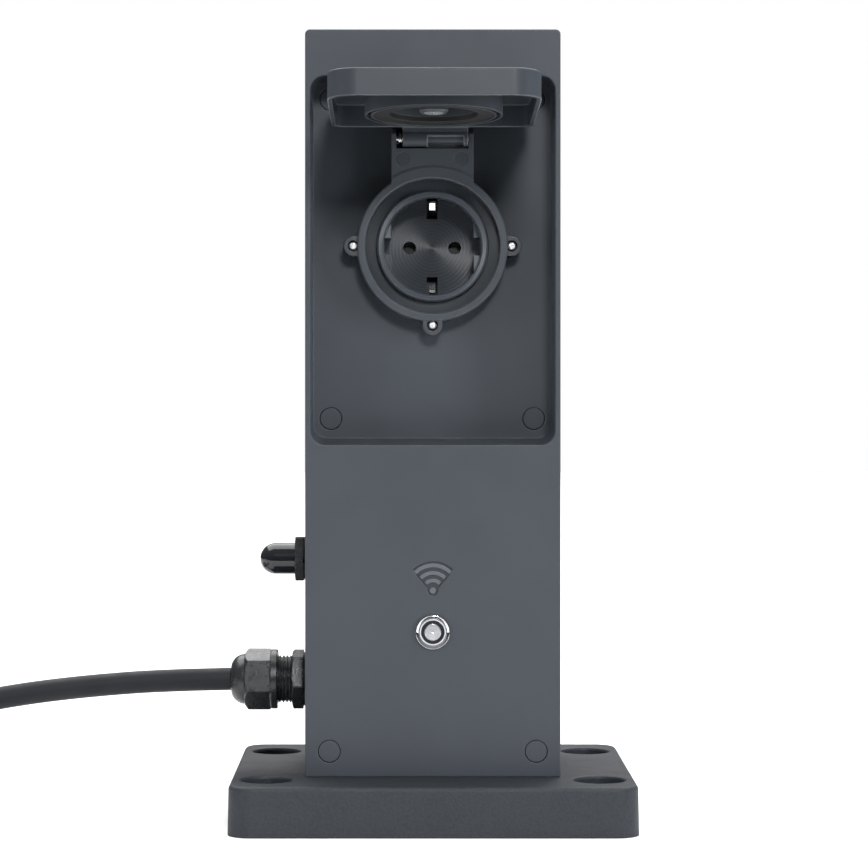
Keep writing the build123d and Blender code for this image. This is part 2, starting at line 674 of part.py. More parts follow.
# ---------------------------------------------------------------- button
def make_button():
    place = at_front(front_y, 0, button_z)
    seat_r = button_barrel_r - 0.2
    bezel = turned((button_ring_r, -1.2), (button_ring_r, -0.6), (button_bezel_r - 0.35, 1.0),
                   (button_bezel_r, 0.7),
                   (button_bezel_r, 0), (seat_r, 0), (seat_r, -1.2))
    save("button_bezel", place * bezel)
    ring = tube(button_ring_r, button_ring_inner_r, -1.2, 0.5)
    save("button_light_ring", place * ring)
    barrel = turned((button_ring_inner_r, -1.2), (button_ring_r, -1.2), (seat_r, -1.2),
                    (button_barrel_r, -1.5),
                    (button_barrel_r, -button_barrel_len), (2.0, -button_barrel_len),
                    (2.0, -button_barrel_len + 2.0),
                    (button_cap_r + 0.15, -button_barrel_len + 2.0), (button_cap_r + 0.15, 0.1),
                    (button_ring_inner_r, 0.1))
    save("button_barrel", place * barrel)
    head = turned((0, 0.9), (button_cap_r - 0.35, 0.8), (button_cap_r, 0.5), (button_cap_r, -3.0),
                  (1.8, -3.0),
                  (1.8, -button_barrel_len + 4.5 + button_travel),
                  (0, -button_barrel_len + 4.5 + button_travel))
    collar = rod(button_cap_r - 0.1, -12.0, -10.0)
    save("button_cap", place * (head + collar))
    save("button_spring", place * spring(2.6, 0.25, 1.55, 6.0, -button_barrel_len + 2.25))
    nut = hexagon(16.0, -cover_plate - 3.0, -cover_plate) - rod(button_barrel_r + 0.05, -10, 0)
    save("button_nut", place * nut)
    save("button_seal", place * tube(button_seal_r, button_barrel_r + 0.05, -button_seal_h, 0))


# ---------------------------------------------------------------- antenna and cable gland on the left side
def make_antenna():
    place = at_side(left_x, 0, antenna_z)
    base = antenna_washer_h + antenna_nut_h
    dome_top = base + antenna_len
    shoulder = dome_top - antenna_r
    profile = make_face(Polyline((0, base), (antenna_r, base), (antenna_r, shoulder))
                        + CenterArc((0, shoulder), antenna_r, 0, 90) + Line((0, dome_top), (0, base)))
    radome = revolve(Plane.XZ * profile, Axis.Z) + rod(antenna_stub_r, -housing_wall - 6.0, base)
    save("antenna_radome", place * radome)
    nut = hexagon(antenna_hex, antenna_washer_h, base, 30.0)
    nut &= turned((0, antenna_washer_h), (antenna_hex / 2 + 0.6, antenna_washer_h),
                  (antenna_hex / 2 + 1.5, antenna_washer_h + 0.5),
                  (antenna_hex / 2 + 1.5, base - 0.5), (antenna_hex / 2 + 0.3, base), (0, base))
    save("antenna_nut", place * (nut - rod(antenna_stub_r + 0.05, 0, base)))
    save("antenna_washer", place * tube(antenna_hex / 2 - 0.6, antenna_stub_r + 0.05, 0, antenna_washer_h))
    locknut = hexagon(13.0, -housing_wall - 3.0, -housing_wall) - rod(antenna_stub_r + 0.05, -10, 0)
    save("antenna_locknut", place * locknut)


def make_gland():
    place = at_side(left_x, 0, gland_z)
    hex_low = gland_washer_h
    hex_top = hex_low + gland_body_hex_h
    thread_top = hex_top + gland_thread_seen
    body = hexagon(gland_hex, hex_low, hex_top, gland_turn)
    body &= turned((0, hex_low), (gland_hex / 2 + 1.6, hex_low), (gland_hex / 2 + 1.6, hex_top - 0.7),
                   (gland_hex / 2, hex_top), (0, hex_top))
    root_r = gland_thread_r - gland_thread_depth
    profile = [(gland_bore_r, hex_top - 0.5), (root_r, hex_top - 0.5)]
    crests = int((thread_top + gland_inner_thread - hex_top) / gland_thread_pitch)
    for k in range(crests):
        z = hex_top + k * gland_thread_pitch
        profile += [(root_r, z), (gland_thread_r, z + 0.45 * gland_thread_pitch),
                    (gland_thread_r, z + 0.6 * gland_thread_pitch)]
    end = hex_top + crests * gland_thread_pitch
    profile += [(root_r, end), (gland_bore_r, end)]
    body = body + turned(*profile) + rod(gland_thread_r, -housing_wall - 9.0, hex_low) - rod(gland_bore_r,
            -40, 60)
    save("gland_body", place * body)
    save("gland_washer", place * tube(gland_washer_r, gland_thread_r + 0.05, 0, gland_washer_h))
    locknut = hexagon(24.0, -housing_wall - 4.5, -housing_wall, 0) - rod(gland_thread_r + 0.05, -12, 0)
    save("gland_locknut", place * locknut)
    flange_top = thread_top + gland_flange_h
    cap_top = flange_top + gland_cap_hex_h
    tip = cap_top + gland_dome_h
    cap = rod(gland_flange_r, thread_top, flange_top)
    cap = chamfer(cap.edges().filter_by(GeomType.CIRCLE), 0.35)
    hexed = hexagon(gland_hex, flange_top, cap_top, gland_cap_turn)
    hexed &= turned((0, flange_top), (gland_hex / 2 + 1.7, flange_top), (gland_hex / 2 + 1.7, cap_top - 1.5),
                    (gland_hex / 2 - 0.2, cap_top), (0, cap_top))
    dome = Polyline((0, cap_top - 1.0), (gland_dome_r, cap_top - 1.0), (gland_dome_r, cap_top))
    dome += CenterArc((gland_dome_r - gland_dome_h, cap_top), gland_dome_h, 0, 90)
    dome += Polyline((gland_dome_r - gland_dome_h, tip), (0, tip), (0, cap_top - 1.0))
    cap += hexed + revolve(Plane.XZ * make_face(dome), Axis.Z)
    cap -= rod(cord_r + 0.35, 0, tip + 1)
    cap -= rod(gland_thread_r + 0.1, thread_top, end + 0.3)
    cap -= turned((0, end), (gland_thread_r - 1.0, end), (seal_tip_r + 0.1, tip - 2.2), (0, tip - 2.2))
    save("gland_cap_nut", place * cap)
    seal = turned((cord_r, hex_top + 1.0), (gland_bore_r - 0.1, hex_top + 1.0),
                  (gland_bore_r - 0.1, end + 0.2),
                  (gland_thread_r - 1.2, end + 0.4), (seal_tip_r, tip - 2.4), (cord_r, tip - 2.4))
    save("gland_seal", place * seal)
    save("cable_inner", place * rod(cord_r, -housing_wall - 12.0, tip))
    return tip


# ---------------------------------------------------------------- board and wiring
def make_electronics():
    """The control board stands on four posts of the back wall, its parts face forwards."""
    front = board_y - board_thick
    board = block(-board_w / 2, board_w / 2, front, board_y, board_z, board_z + board_h)
    screws = []
    for x, z in board_screw_places:
        board -= at_front(board_y, x, z) * rod(board_screw_r + 0.1, 0, board_thick)
        screws.append(at_front(front, x, z) * (rod(2.8, 0, 1.8)
                                               + rod(board_screw_r, -board_thick - board_standoff + 1.2, 0)
                                               - Pos(0, 0, 1.6) * Box(0.8, 4.2, 0.8)
                                               - Pos(0, 0, 1.6) * Box(4.2, 0.8, 0.8)))
    save("control_board", board)
    save("board_screws", *screws)

    def part(x0, x1, z0, z1, height):
        return block(x0, x1, front - height, front, board_z + z0, board_z + z1)

    terminals = []
    for low, high in ((8.0, 20.0), (board_h - 20.0, board_h - 8.0)):
        strip = part(-17.0, 17.0, low, high, 13.0)
        outer = board_z + (low if low < board_h / 2 else high)
        for x in wire_x:
            strip -= Pos(x, front - 6.0, outer) * Cylinder(wire_r + 0.5, 8.0)
            strip -= at_front(front - 13.0, x, board_z + (low + high) / 2) * rod(2.0, -2.0, 0)
        terminals.append(strip)
    save("mains_terminals", *terminals)
    save("relay", fillet(part(-27.0, -14.0, 42.0, 70.0, 15.5).edges().filter_by(Axis.Y), 0.8))
    save("power_module", fillet(part(-8.0, 13.0, 30.0, 66.0, 17.0).edges().filter_by(Axis.Y), 1.0))
    save("capacitor", at_front(front, 20.0, board_z + 36.0) * fillet(rod(5.0, 0, 16.0).edges(), 0.6))
    module = part(-20.0, -2.0, 74.0, 86.0, 3.2) + part(-20.0, 6.0, 73.0, 87.0, 0.8)
    save("wireless_module", module)

    # conductors: gland to the lower strip, upper strip to the socket's terminals
    cable_end = left_x + housing_wall + 12.0
    low_z = board_z + 8.0 + 4.0
    high_z = board_z + board_h - 8.0 - 4.0
    rear_y = recess_floor_y - (flange_proud - well_depth - face_plate - rear_block_len)
    ends = {"wire_line": (0, (-pin_spacing / 2, terminal_rise, 2.2)),
            "wire_earth": (1, (0.0, -terminal_rise, 2.2 + earth_strip)),
            "wire_neutral": (2, (pin_spacing / 2, terminal_rise, 2.2))}
    for name, (k, (sx, sz, stand)) in ends.items():
        core_z = gland_z + (1 - k) * (2 * wire_r + 0.1)
        x = wire_x[k]
        y = front - 6.0
        supply = [(cable_end, 0.0, core_z), (x, y - 3.0, core_z - 0.5), (x, y, low_z)]
        load = [(x, y, high_z), (sx, y + 2.0, socket_z + sz), (sx, rear_y + stand, socket_z + sz)]
        first, _, _ = cord_tube(supply, wire_r, smallest=9.0)
        second, _, _ = cord_tube(load, wire_r, share=0.4, smallest=2.6)
        save(name, first, second)
    aerial = [(left_x + housing_wall + 6.0, 0.0, antenna_z), (-27.0, 0.0, antenna_z + 4.0),
              (-17.0, 4.0, board_z + 80.0), (-17.0, front - 3.2, board_z + 80.0)]
    lead, _, _ = cord_tube(aerial, 0.9, share=0.4)
    save("antenna_lead", lead)


# ---------------------------------------------------------------- free cord, its coil and its plug
def make_cord():
    hang, length, radii = cord_tube(cord_route, cord_r)
    tail, tail_length, tail_radii = cord_tube(tail_route, cord_r)
    print("cord radii", [round(r) for r in radii], "tail radii", [round(r) for r in tail_radii])
    print("cord run", round(length, 1), round(hang.volume / (pi * cord_r ** 2), 1),
          "tail", round(tail_length, 1), round(tail.volume / (pi * cord_r ** 2), 1))
    save("power_cable", hang)
    save("cable_tail", tail)
    middle = Pos(coil_centre[0], coil_centre[1], 0)
    outer = coil_turn_r + 2 * cord_r
    inner = coil_turn_r - 2 * cord_r
    height = 2 * cord_r * coil_layers
    section = Pos(coil_turn_r, height / 2) * RectangleRounded(outer - inner, height, cord_r * 0.9)
    coil = revolve(Plane.XZ * section, Axis.Z)
    side_r = outer + cord_r - coil_side_bite
    coil += revolve(Plane.XZ * (Pos(side_r, cord_r) * Circle(cord_r)), Axis.Z, coil_side_arc)
    save("cable_coil", middle * coil)
    turns = 2 * pi * coil_turn_r * 2 * coil_layers + radians(coil_side_arc) * side_r
    print("coil turns length", round(turns, 1))
    band = RectangleRounded(outer - inner + 2.4, height + 1.2, cord_r)
    band -= Pos(0, 0.6) * RectangleRounded(outer - inner, height - 1.2, cord_r * 0.8)
    tie = Pos(coil_turn_r, 0, height / 2 + 0.6) * Rot(90, 0, 0) * extrude(band, tie_width / 2, both=True)
    save("coil_tie", middle * Rot(0, 0, tie_turn) * tie)
    end = Vector(*tail_route[-1])
    plug = at_front(end.Y, end.X, end.Z)
    relief = turned((0, 0), (cord_r + 1.2, 0), (cord_r + 4.5, plug_relief_len), (0, plug_relief_len))
    for k in range(4):
        z = 5.0 + 6.0 * k
        relief -= tube(14.0, cord_r + 1.0, z, z + 2.2)
    save("plug_relief", plug * relief)
    base = plug_relief_len
    face = base + plug_len
    body = turned((0, base), (cord_r + 4.5, base), (15.0, base + 6.0), (plug_r, base + 12.0),
                  (plug_r, face - 1.0),
                  (plug_r - 1.0, face), (0, face))
    for side in (-1, 1):
        body -= Pos(side * (plug_r - 0.6), 0, face - 8.0) * Box(3.0, 6.6, 18.0)
        body -= Pos(0, side * (plug_r - 0.4), face - 6.0) * Box(4.6, 2.4, 14.0)
    pins = []
    for side in (-1, 1):
        x = side * pin_spacing / 2
        tip = face + plug_pin_len
        body -= rod(plug_pin_root_r, face - plug_pin_root, face, x, 0)
        body -= rod(plug_pin_root_r + 0.4, face - plug_face_sink, face, x, 0)
        pins.append(plug * (Pos(x, 0, 0) * turned(
            (0, face - plug_pin_root), (plug_pin_root_r, face - plug_pin_root),
            (plug_pin_root_r, face - plug_face_sink),
            (plug_pin_r, face - plug_face_sink), (plug_pin_r, tip - plug_pin_tip),
            (plug_pin_r - 1.0, tip), (0, tip))))
    save("plug_body", plug * body)
    save("plug_pins", *pins)


make_foot()
make_front_cover()
make_rear_housing()
make_socket()
make_lid()
make_button()
make_antenna()
make_gland()
make_electronics()
make_cord()
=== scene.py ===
import math

import bmesh
import bpy
from bpy.props import FloatProperty, FloatVectorProperty, IntProperty, PointerProperty
from mathutils import Matrix, Vector


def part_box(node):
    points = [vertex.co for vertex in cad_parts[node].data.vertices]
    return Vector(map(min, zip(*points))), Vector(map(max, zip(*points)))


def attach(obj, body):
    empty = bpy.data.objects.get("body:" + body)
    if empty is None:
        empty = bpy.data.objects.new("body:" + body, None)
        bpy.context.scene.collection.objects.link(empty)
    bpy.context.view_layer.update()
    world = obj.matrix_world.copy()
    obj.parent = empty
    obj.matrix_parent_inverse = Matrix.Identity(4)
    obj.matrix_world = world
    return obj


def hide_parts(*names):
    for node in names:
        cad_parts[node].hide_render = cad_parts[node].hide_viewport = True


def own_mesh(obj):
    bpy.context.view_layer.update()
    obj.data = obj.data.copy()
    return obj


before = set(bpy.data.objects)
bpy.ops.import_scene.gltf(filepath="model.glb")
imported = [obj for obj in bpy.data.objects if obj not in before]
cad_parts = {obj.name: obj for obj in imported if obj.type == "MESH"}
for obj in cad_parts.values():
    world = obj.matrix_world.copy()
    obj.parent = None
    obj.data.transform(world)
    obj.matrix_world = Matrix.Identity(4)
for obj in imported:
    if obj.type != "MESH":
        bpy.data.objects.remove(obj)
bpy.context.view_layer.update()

bl_info = {
    "name": "Garden power post",
    "version": (1, 0, 0),
    "blender": (4, 5, 0),
    "location": "View3D > Sidebar > Power post",
    "description": "Finishes, cord and stage for a garden power post with one covered socket",
    "category": "Object",
}

MM = 0.001
SPIN_STEPS = 96

# ---------------------------------------------------------------- places taken from the frame
SOCKET_LOW, SOCKET_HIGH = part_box("socket_insert")
SOCKET_AXIS = (SOCKET_LOW + SOCKET_HIGH) / 2
BEZEL_LOW, BEZEL_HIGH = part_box("button_bezel")
BUTTON_AXIS = (BEZEL_LOW + BEZEL_HIGH) / 2
FOOT_LOW, FOOT_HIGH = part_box("base_foot")
RELIEF_LOW, RELIEF_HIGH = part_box("plug_relief")
FACE_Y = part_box("front_cover")[0].y
SYMBOL_MIDDLE = (0.0, FACE_Y, 0.1040)
SYMBOL_REACH = 0.0105
STEP_BLUR = 0.00004
ARC_DEPTH = 0.00005
FIELD_DEPTH = 0.00027

FLOOR_NEAR = -0.42

# ---------------------------------------------------------------- tones shared by the finishes
WHITE = (1.0, 1.0, 1.0)
# painted highlight on the wireless symbol's raised arcs, and painted shade in its sunk field
SYMBOL_ARC_HIGHLIGHT = (0.036, 0.039, 0.043)
SYMBOL_FIELD_SHADE = 0.36
# how far the painted shade in grooves and corners reaches
CORNER_REACH = 0.007
BRUSH_STRETCH = (1, 1, 30)
SAND_GRAIN = 0.0011
SAND_GRAIN_DEPTH = 0.00013
TURNING_SCALE = 220.0

# ---------------------------------------------------------------- cord's route, in millimetres
CORD_RUN = [
    (-84.9, 0.0, 56.4), (-113.0, 0.4, 55.8), (-143.0, 0.2, 53.6), (-173.0, -0.6, 50.2),
    (-203.0, -1.6, 44.6), (-233.0, -1.4, 37.4), (-262.0, 1.4, 30.2), (-290.0, 9.5, 25.6),
    (-309.0, 26.5, 20.6), (-319.4, 49.0, 16.0),
]
CORD_TAIL = [
    (-197.9, 56.0, 4.75), (-198.3, 36.0, 4.75), (-199.6, 20.0, 8.3), (-201.4, 7.2, 15.1),
    (-203.2, -6.5, 18.6), (-204.2, -20.0, 18.6),
]
COIL_CENTRE = (-264.0, 58.0)
# the coil's angles in degrees, and its turns' places in cord radii: across from the middle, and up
COIL_START = 163.0
COIL_END = 10.0
COIL_TURNS = 4
STEP_FROM = 264.0
STEP_TO = 214.0
TURN_LEVELS = [(1, 3), (-1, 3), (-1, 1), (1, 1), (3, 1)]
# the turn that goes down a layer passes inside the others
DIVING_TURN = 2
DIVE_INWARDS = 0.9
TIE_TURN = math.radians(-62)

# ---------------------------------------------------------------- plug's strain relief
# its first and last rib as shares of its length, and a rib's thickness as a share of its size
FIRST_RIB = 0.12
LAST_RIB = 0.86
RIB_RADIUS = 0.19
RELIEF_WALL = 0.0009
RELIEF_THICK = 0.0079


# ---------------------------------------------------------------- settings
class PowerPostCord(bpy.types.PropertyGroup):
    """Sizes of the mains cord and what holds it"""
    diameter: FloatProperty(name="Diameter", description="Outer diameter of the cord", default=0.0095,
                            unit="LENGTH")
    length: FloatProperty(name="Length", description="Free length from the gland to the plug", default=1.85,
                          unit="LENGTH")
    turn_radius: FloatProperty(name="Turn radius", description="Radius at the middle of the coil's turns",
                               default=0.052, unit="LENGTH")
    points_per_turn: IntProperty(name="Points per turn", description="Control points in one turn of the coil",
                                 default=16)
    rib_count: IntProperty(name="Relief ribs", description="Ribs along the plug's strain relief", default=5)
    tie_loops: IntProperty(name="Tie loops", description="Fabric loops on the coil's hook-and-loop tie",
                           default=420)


class PowerPostFinish(bpy.types.PropertyGroup):
    """Colours of the main finishes"""
    coat: FloatVectorProperty(name="Post coat", description="Satin anthracite of the post and the lid",
                              size=3, default=(0.0385, 0.0447, 0.0534), subtype="COLOR", min=0, max=1)
    foot: FloatVectorProperty(name="Foot coat", description="Sand-textured anthracite of the foot", size=3,
                              default=(0.0185, 0.0222, 0.0275), subtype="COLOR", min=0, max=1)
    socket: FloatVectorProperty(name="Socket plastic", description="Frame and hinge of the socket", size=3,
                                default=(0.038, 0.044, 0.052), subtype="COLOR", min=0, max=1)
    insert: FloatVectorProperty(name="Insert plastic", description="Well and face plate of the socket",
                                size=3, default=(0.036, 0.042, 0.050), subtype="COLOR", min=0, max=1)
    black: FloatVectorProperty(name="Black polyamide", description="Cable gland and antenna nut", size=3,
                               default=(0.012, 0.013, 0.015), subtype="COLOR", min=0, max=1)
    rubber: FloatVectorProperty(name="Cord rubber", description="Sheath of the mains cord", size=3,
                                default=(0.0065, 0.0078, 0.0100), subtype="COLOR", min=0, max=1)


class PowerPostStage(bpy.types.PropertyGroup):
    """Camera, floor and light"""
    lens: FloatProperty(name="Lens", description="Focal length in millimetres", default=107.8)
    camera_place: FloatVectorProperty(name="Camera", description="Where the camera stands", size=3,
                                      default=(-0.0118, -1.0992, 0.1794), unit="LENGTH")
    shift_x: FloatProperty(name="Shift across", description="Lens shift across the frame", default=0.0346)
    shift_y: FloatProperty(name="Shift up", description="Lens shift up the frame", default=-0.053)
    floor_size: FloatProperty(name="Floor", description="Half the width of the floor", default=2.2,
                              unit="LENGTH")
    key_power: FloatProperty(name="Key light", description="Power of the soft key light in watts",
                             default=27.5)
    side_power: FloatProperty(name="Left light", description="Power of the left side light in watts",
                              default=15.0)
    right_share: FloatProperty(name="Right light", description="The right side light's power, as a multiple "
                               "of the left one's", default=2.2)
    top_power: FloatProperty(name="Top light", description="Power of the overhead light in watts",
                             default=320.0)
    room_low: FloatProperty(name="Room below", description="Strength of the light from below", default=0.04)
    room_high: FloatProperty(name="Room above", description="Strength of the light from above", default=0.35)


# ---------------------------------------------------------------- finishes
def colour_sockets(sockets):
    """The sockets for colours, on a node that has others by the same names."""
    return [s for s in sockets if s.type == "RGBA"]


class Nodes:
    """A material's node tree with short calls to add and join nodes."""

    def __init__(self, name):
        self.material = bpy.data.materials.new(name)
        self.material.use_nodes = True
        self.tree = self.material.node_tree
        self.shader = self.tree.nodes["Principled BSDF"]
        self.coords = self.add("ShaderNodeTexCoord").outputs["Object"]

    def add(self, kind, **settings):
        node = self.tree.nodes.new(kind)
        for key, value in settings.items():
            setattr(node, key, value)
        return node

    def join(self, source, target):
        self.tree.links.new(source, target)

    def fill(self, node, **values):
        for key, value in values.items():
            node.inputs[key.replace("_", " ")].default_value = value

    def centred(self, point, scale=(1, 1, 1), turn=(0, 0, 0)):
        """Object coordinates measured from a point."""
        move = self.add("ShaderNodeMapping", vector_type="POINT")
        move.inputs["Location"].default_value = [-p * s for p, s in zip(point, scale)]
        move.inputs["Scale"].default_value = scale
        move.inputs["Rotation"].default_value = turn
        self.join(self.coords, move.inputs["Vector"])
        return move.outputs["Vector"]

    def noise(self, size, detail=4.0, roughness=0.55, coords=None):
        """Noise whose grains are about size metres across."""
        node = self.add("ShaderNodeTexNoise")
        self.fill(node, Scale=1.0 / size, Detail=detail, Roughness=roughness)
        self.join(coords or self.coords, node.inputs["Vector"])
        return node.outputs["Fac"]

    def spread(self, value, low, high, from_low=0.3, from_high=0.7):
        """A 0 to 1 pattern mapped on to a range."""
        node = self.add("ShaderNodeMapRange")
        node.inputs["From Min"].default_value = from_low
        node.inputs["From Max"].default_value = from_high
        node.inputs["To Min"].default_value = low
        node.inputs["To Max"].default_value = high
        self.join(value, node.inputs["Value"])
        return node.outputs["Result"]

    def blend(self, value, dark, light):
        """Two colours mixed by a pattern."""
        node = self.add("ShaderNodeMix", data_type="RGBA")
        colours = colour_sockets(node.inputs)
        colours[0].default_value = (*dark, 1.0)
        colours[1].default_value = (*light, 1.0)
        self.join(value, node.inputs["Factor"])
        return colour_sockets(node.outputs)[0]

    def bump(self, height, depth, strength=1.0, under=None):
        """A bump of the given depth in metres, on top of another."""
        node = self.add("ShaderNodeBump")
        self.fill(node, Strength=strength, Distance=depth)
        self.join(height, node.inputs["Height"])
        if under:
            self.join(under, node.inputs["Normal"])
        return node.outputs["Normal"]

    def tinted(self, paint, value, tint, how="MULTIPLY"):
        """A colour multiplied by a tint, or with it added, where a pattern is 1."""
        node = self.add("ShaderNodeMix", data_type="RGBA", blend_type=how)
        colours = colour_sockets(node.inputs)
        self.join(paint, colours[0])
        colours[1].default_value = (*tint, 1.0)
        self.join(value, node.inputs["Factor"])
        return colour_sockets(node.outputs)[0]

    # mask for the painted highlight that lightens rounded edges
    def edge_light_mask(self, rounded):
        """1 along edges, where the rounded normal leaves the face's own."""
        flat = self.add("ShaderNodeNewGeometry").outputs["Normal"]
        dot = self.add("ShaderNodeVectorMath", operation="DOT_PRODUCT")
        self.join(flat, dot.inputs[0])
        self.join(rounded, dot.inputs[1])
        return self.spread(dot.outputs["Value"], 1.0, 0.0, 0.86, 0.985)

    # mask for the painted shade in grooves and inner corners
    def hollow_shade_mask(self, reach):
        """1 in grooves and inner corners."""
        node = self.add("ShaderNodeAmbientOcclusion", samples=6)
        node.inputs["Distance"].default_value = reach
        return self.spread(node.outputs["AO"], 1.0, 0.0, 0.25, 0.85)

    def close_to(self, point, reach):
        """1 within a distance of a point."""
        node = self.add("ShaderNodeVectorMath", operation="DISTANCE")
        node.inputs[1].default_value = point
        self.join(self.coords, node.inputs[0])
        return self.spread(node.outputs["Value"], 1.0, 0.0, reach * 0.97, reach)

    def deeper_than(self, y, inside):
        """1 behind a plane across Y, within another pattern."""
        split = self.add("ShaderNodeSeparateXYZ")
        self.join(self.coords, split.inputs[0])
        behind = self.spread(split.outputs["Y"], 0.0, 1.0, y - STEP_BLUR, y + STEP_BLUR)
        both = self.add("ShaderNodeMath", operation="MULTIPLY")
        self.join(behind, both.inputs[0])
        self.join(inside, both.inputs[1])
        return both.outputs[0]

    def soft_edges(self, radius):
        """Edges that look rounded to a small radius."""
        node = self.add("ShaderNodeBevel", samples=4)
        node.inputs["Radius"].default_value = radius
        return node.outputs["Normal"]


def shade(colour, factor):
    """A colour made lighter or darker."""
    return tuple(min(1.0, c * factor) for c in colour)


def moulded(name, colour, roughness, grain=0.0006, depth=0.00003, tone=0.06, tone_size=0.05,
            spread=0.05, edge=0.0, specular=0.5, edge_highlight=0.0, corner_shade=0.0, shade_symbol=False):
    """Moulded or coated surface: fine grain, slow change of tone, uneven gloss, soft edges.

    edge_highlight adds painted highlight to the edges that edge rounds, corner_shade adds painted shade to
    grooves and inner corners, and shade_symbol paints highlight on the wireless symbol's raised arcs and
    shade in its sunk field.
    """
    n = Nodes(name)
    n.shader.inputs["Specular IOR Level"].default_value = specular
    slow = n.noise(tone_size, detail=3.0)
    paint = n.blend(n.spread(slow, 0, 1), shade(colour, 1 - tone), shade(colour, 1 + tone))
    under = n.soft_edges(edge) if edge else None
    if edge_highlight:
        # painted highlight: lightens the paint where the edges are rounded
        paint = n.tinted(paint, n.edge_light_mask(under), shade(WHITE, edge_highlight), "ADD")
    if corner_shade:
        # painted shade: darkens the paint in grooves and inner corners
        paint = n.tinted(paint, n.hollow_shade_mask(CORNER_REACH), shade(WHITE, 1 - corner_shade))
    if shade_symbol:
        near = n.close_to(SYMBOL_MIDDLE, SYMBOL_REACH)
        arcs = n.deeper_than(FACE_Y + ARC_DEPTH, near)
        field = n.deeper_than(FACE_Y + FIELD_DEPTH, near)
        # painted highlight on the symbol's raised arcs and painted shade in its sunk field
        paint = n.tinted(paint, arcs, SYMBOL_ARC_HIGHLIGHT, "ADD")
        paint = n.tinted(paint, field, shade(WHITE, SYMBOL_FIELD_SHADE))
    n.join(paint, n.shader.inputs["Base Color"])
    n.join(n.spread(n.noise(tone_size * 0.3), roughness - spread, roughness + spread),
           n.shader.inputs["Roughness"])
    n.join(n.bump(n.noise(grain), depth, under=under), n.shader.inputs["Normal"])
    return n.material


def sand_coat(name, colour):
    """Powder coat with a sandy surface: rounded grains on a finer noise, with painted shade in the hollows
    between them.
    """
    n = Nodes(name)
    cells = n.add("ShaderNodeTexVoronoi", feature="SMOOTH_F1")
    n.fill(cells, Scale=1.0 / SAND_GRAIN, Randomness=1.0, Smoothness=0.6)
    n.join(n.coords, cells.inputs["Vector"])
    grains = cells.outputs["Distance"]
    # painted light and shade: grain tops lighter, hollows between grains darker
    n.join(n.blend(n.spread(grains, 0, 1, 0.15, 0.75), shade(colour, 1.14), shade(colour, 0.84)),
           n.shader.inputs["Base Color"])
    n.join(n.spread(n.noise(0.02), 0.5, 0.62), n.shader.inputs["Roughness"])
    n.shader.inputs["Specular IOR Level"].default_value = 0.32
    fine = n.bump(n.noise(0.0005), 0.00006, under=n.soft_edges(0.0006))
    lumps = n.spread(grains, 1, 0, 0.0, 0.9)
    n.join(n.bump(lumps, SAND_GRAIN_DEPTH, strength=0.8, under=fine), n.shader.inputs["Normal"])
    return n.material


def turned_plastic(name, colour, centre):
    """Plastic with concentric turning marks round the socket's axis and a sheen along them."""
    n = Nodes(name)
    around = n.centred(centre)
    rings = n.add("ShaderNodeTexWave", wave_type="RINGS", rings_direction="Y", wave_profile="SIN")
    n.fill(rings, Scale=TURNING_SCALE, Distortion=0.6, Detail=1.5)
    n.join(around, rings.inputs["Vector"])
    marks = rings.outputs["Fac"]
    n.join(n.blend(marks, shade(colour, 0.9), shade(colour, 1.12)), n.shader.inputs["Base Color"])
    n.join(n.spread(marks, 0.3, 0.4, 0, 1), n.shader.inputs["Roughness"])
    n.shader.inputs["Anisotropic"].default_value = 0.75
    tangent = n.add("ShaderNodeTangent", direction_type="RADIAL", axis="Y")
    n.join(tangent.outputs["Tangent"], n.shader.inputs["Tangent"])
    n.join(n.bump(marks, 0.000012, under=n.bump(n.noise(0.0004), 0.00001, under=n.soft_edges(0.0003))),
           n.shader.inputs["Normal"])
    return n.material


def metal(name, colour, roughness, brush=0.000003):
    """Bare metal: brushed along one way to a depth in metres, slightly uneven gloss."""
    n = Nodes(name)
    n.fill(n.shader, Metallic=1.0)
    n.join(n.blend(n.spread(n.noise(0.004), 0, 1), shade(colour, 0.93), shade(colour, 1.04)),
           n.shader.inputs["Base Color"])
    stretched = n.centred((0, 0, 0), scale=BRUSH_STRETCH)
    lines = n.noise(0.002, coords=stretched)
    n.join(n.spread(lines, roughness * 0.8, roughness * 1.25), n.shader.inputs["Roughness"])
    n.join(n.bump(lines, brush, under=n.soft_edges(0.0001)), n.shader.inputs["Normal"])
    return n.material


def cord_sheath(name, colour):
    """Rubber sheath: dull, faint lengthwise drag marks and dusty patches."""
    n = Nodes(name)
    dust = n.noise(0.012, detail=6.0, roughness=0.65)
    n.join(n.blend(n.spread(dust, 0, 1, 0.35, 0.75), colour, shade(colour, 1.5)),
           n.shader.inputs["Base Color"])
    n.join(n.spread(n.noise(0.006), 0.5, 0.64), n.shader.inputs["Roughness"])
    n.shader.inputs["Specular IOR Level"].default_value = 0.25
    n.join(n.bump(n.noise(0.0009, detail=5.0), 0.00006, under=n.bump(n.noise(0.006), 0.00015)),
           n.shader.inputs["Normal"])
    return n.material


def glow_plastic(name, colour):
    """Translucent white light ring."""
    n = Nodes(name)
    n.join(n.blend(n.noise(0.001), shade(colour, 0.96), colour), n.shader.inputs["Base Color"])
    n.shader.inputs["Roughness"].default_value = 0.18
    n.shader.inputs["Subsurface Weight"].default_value = 0.2
    n.shader.inputs["Subsurface Scale"].default_value = 0.001
    return n.material


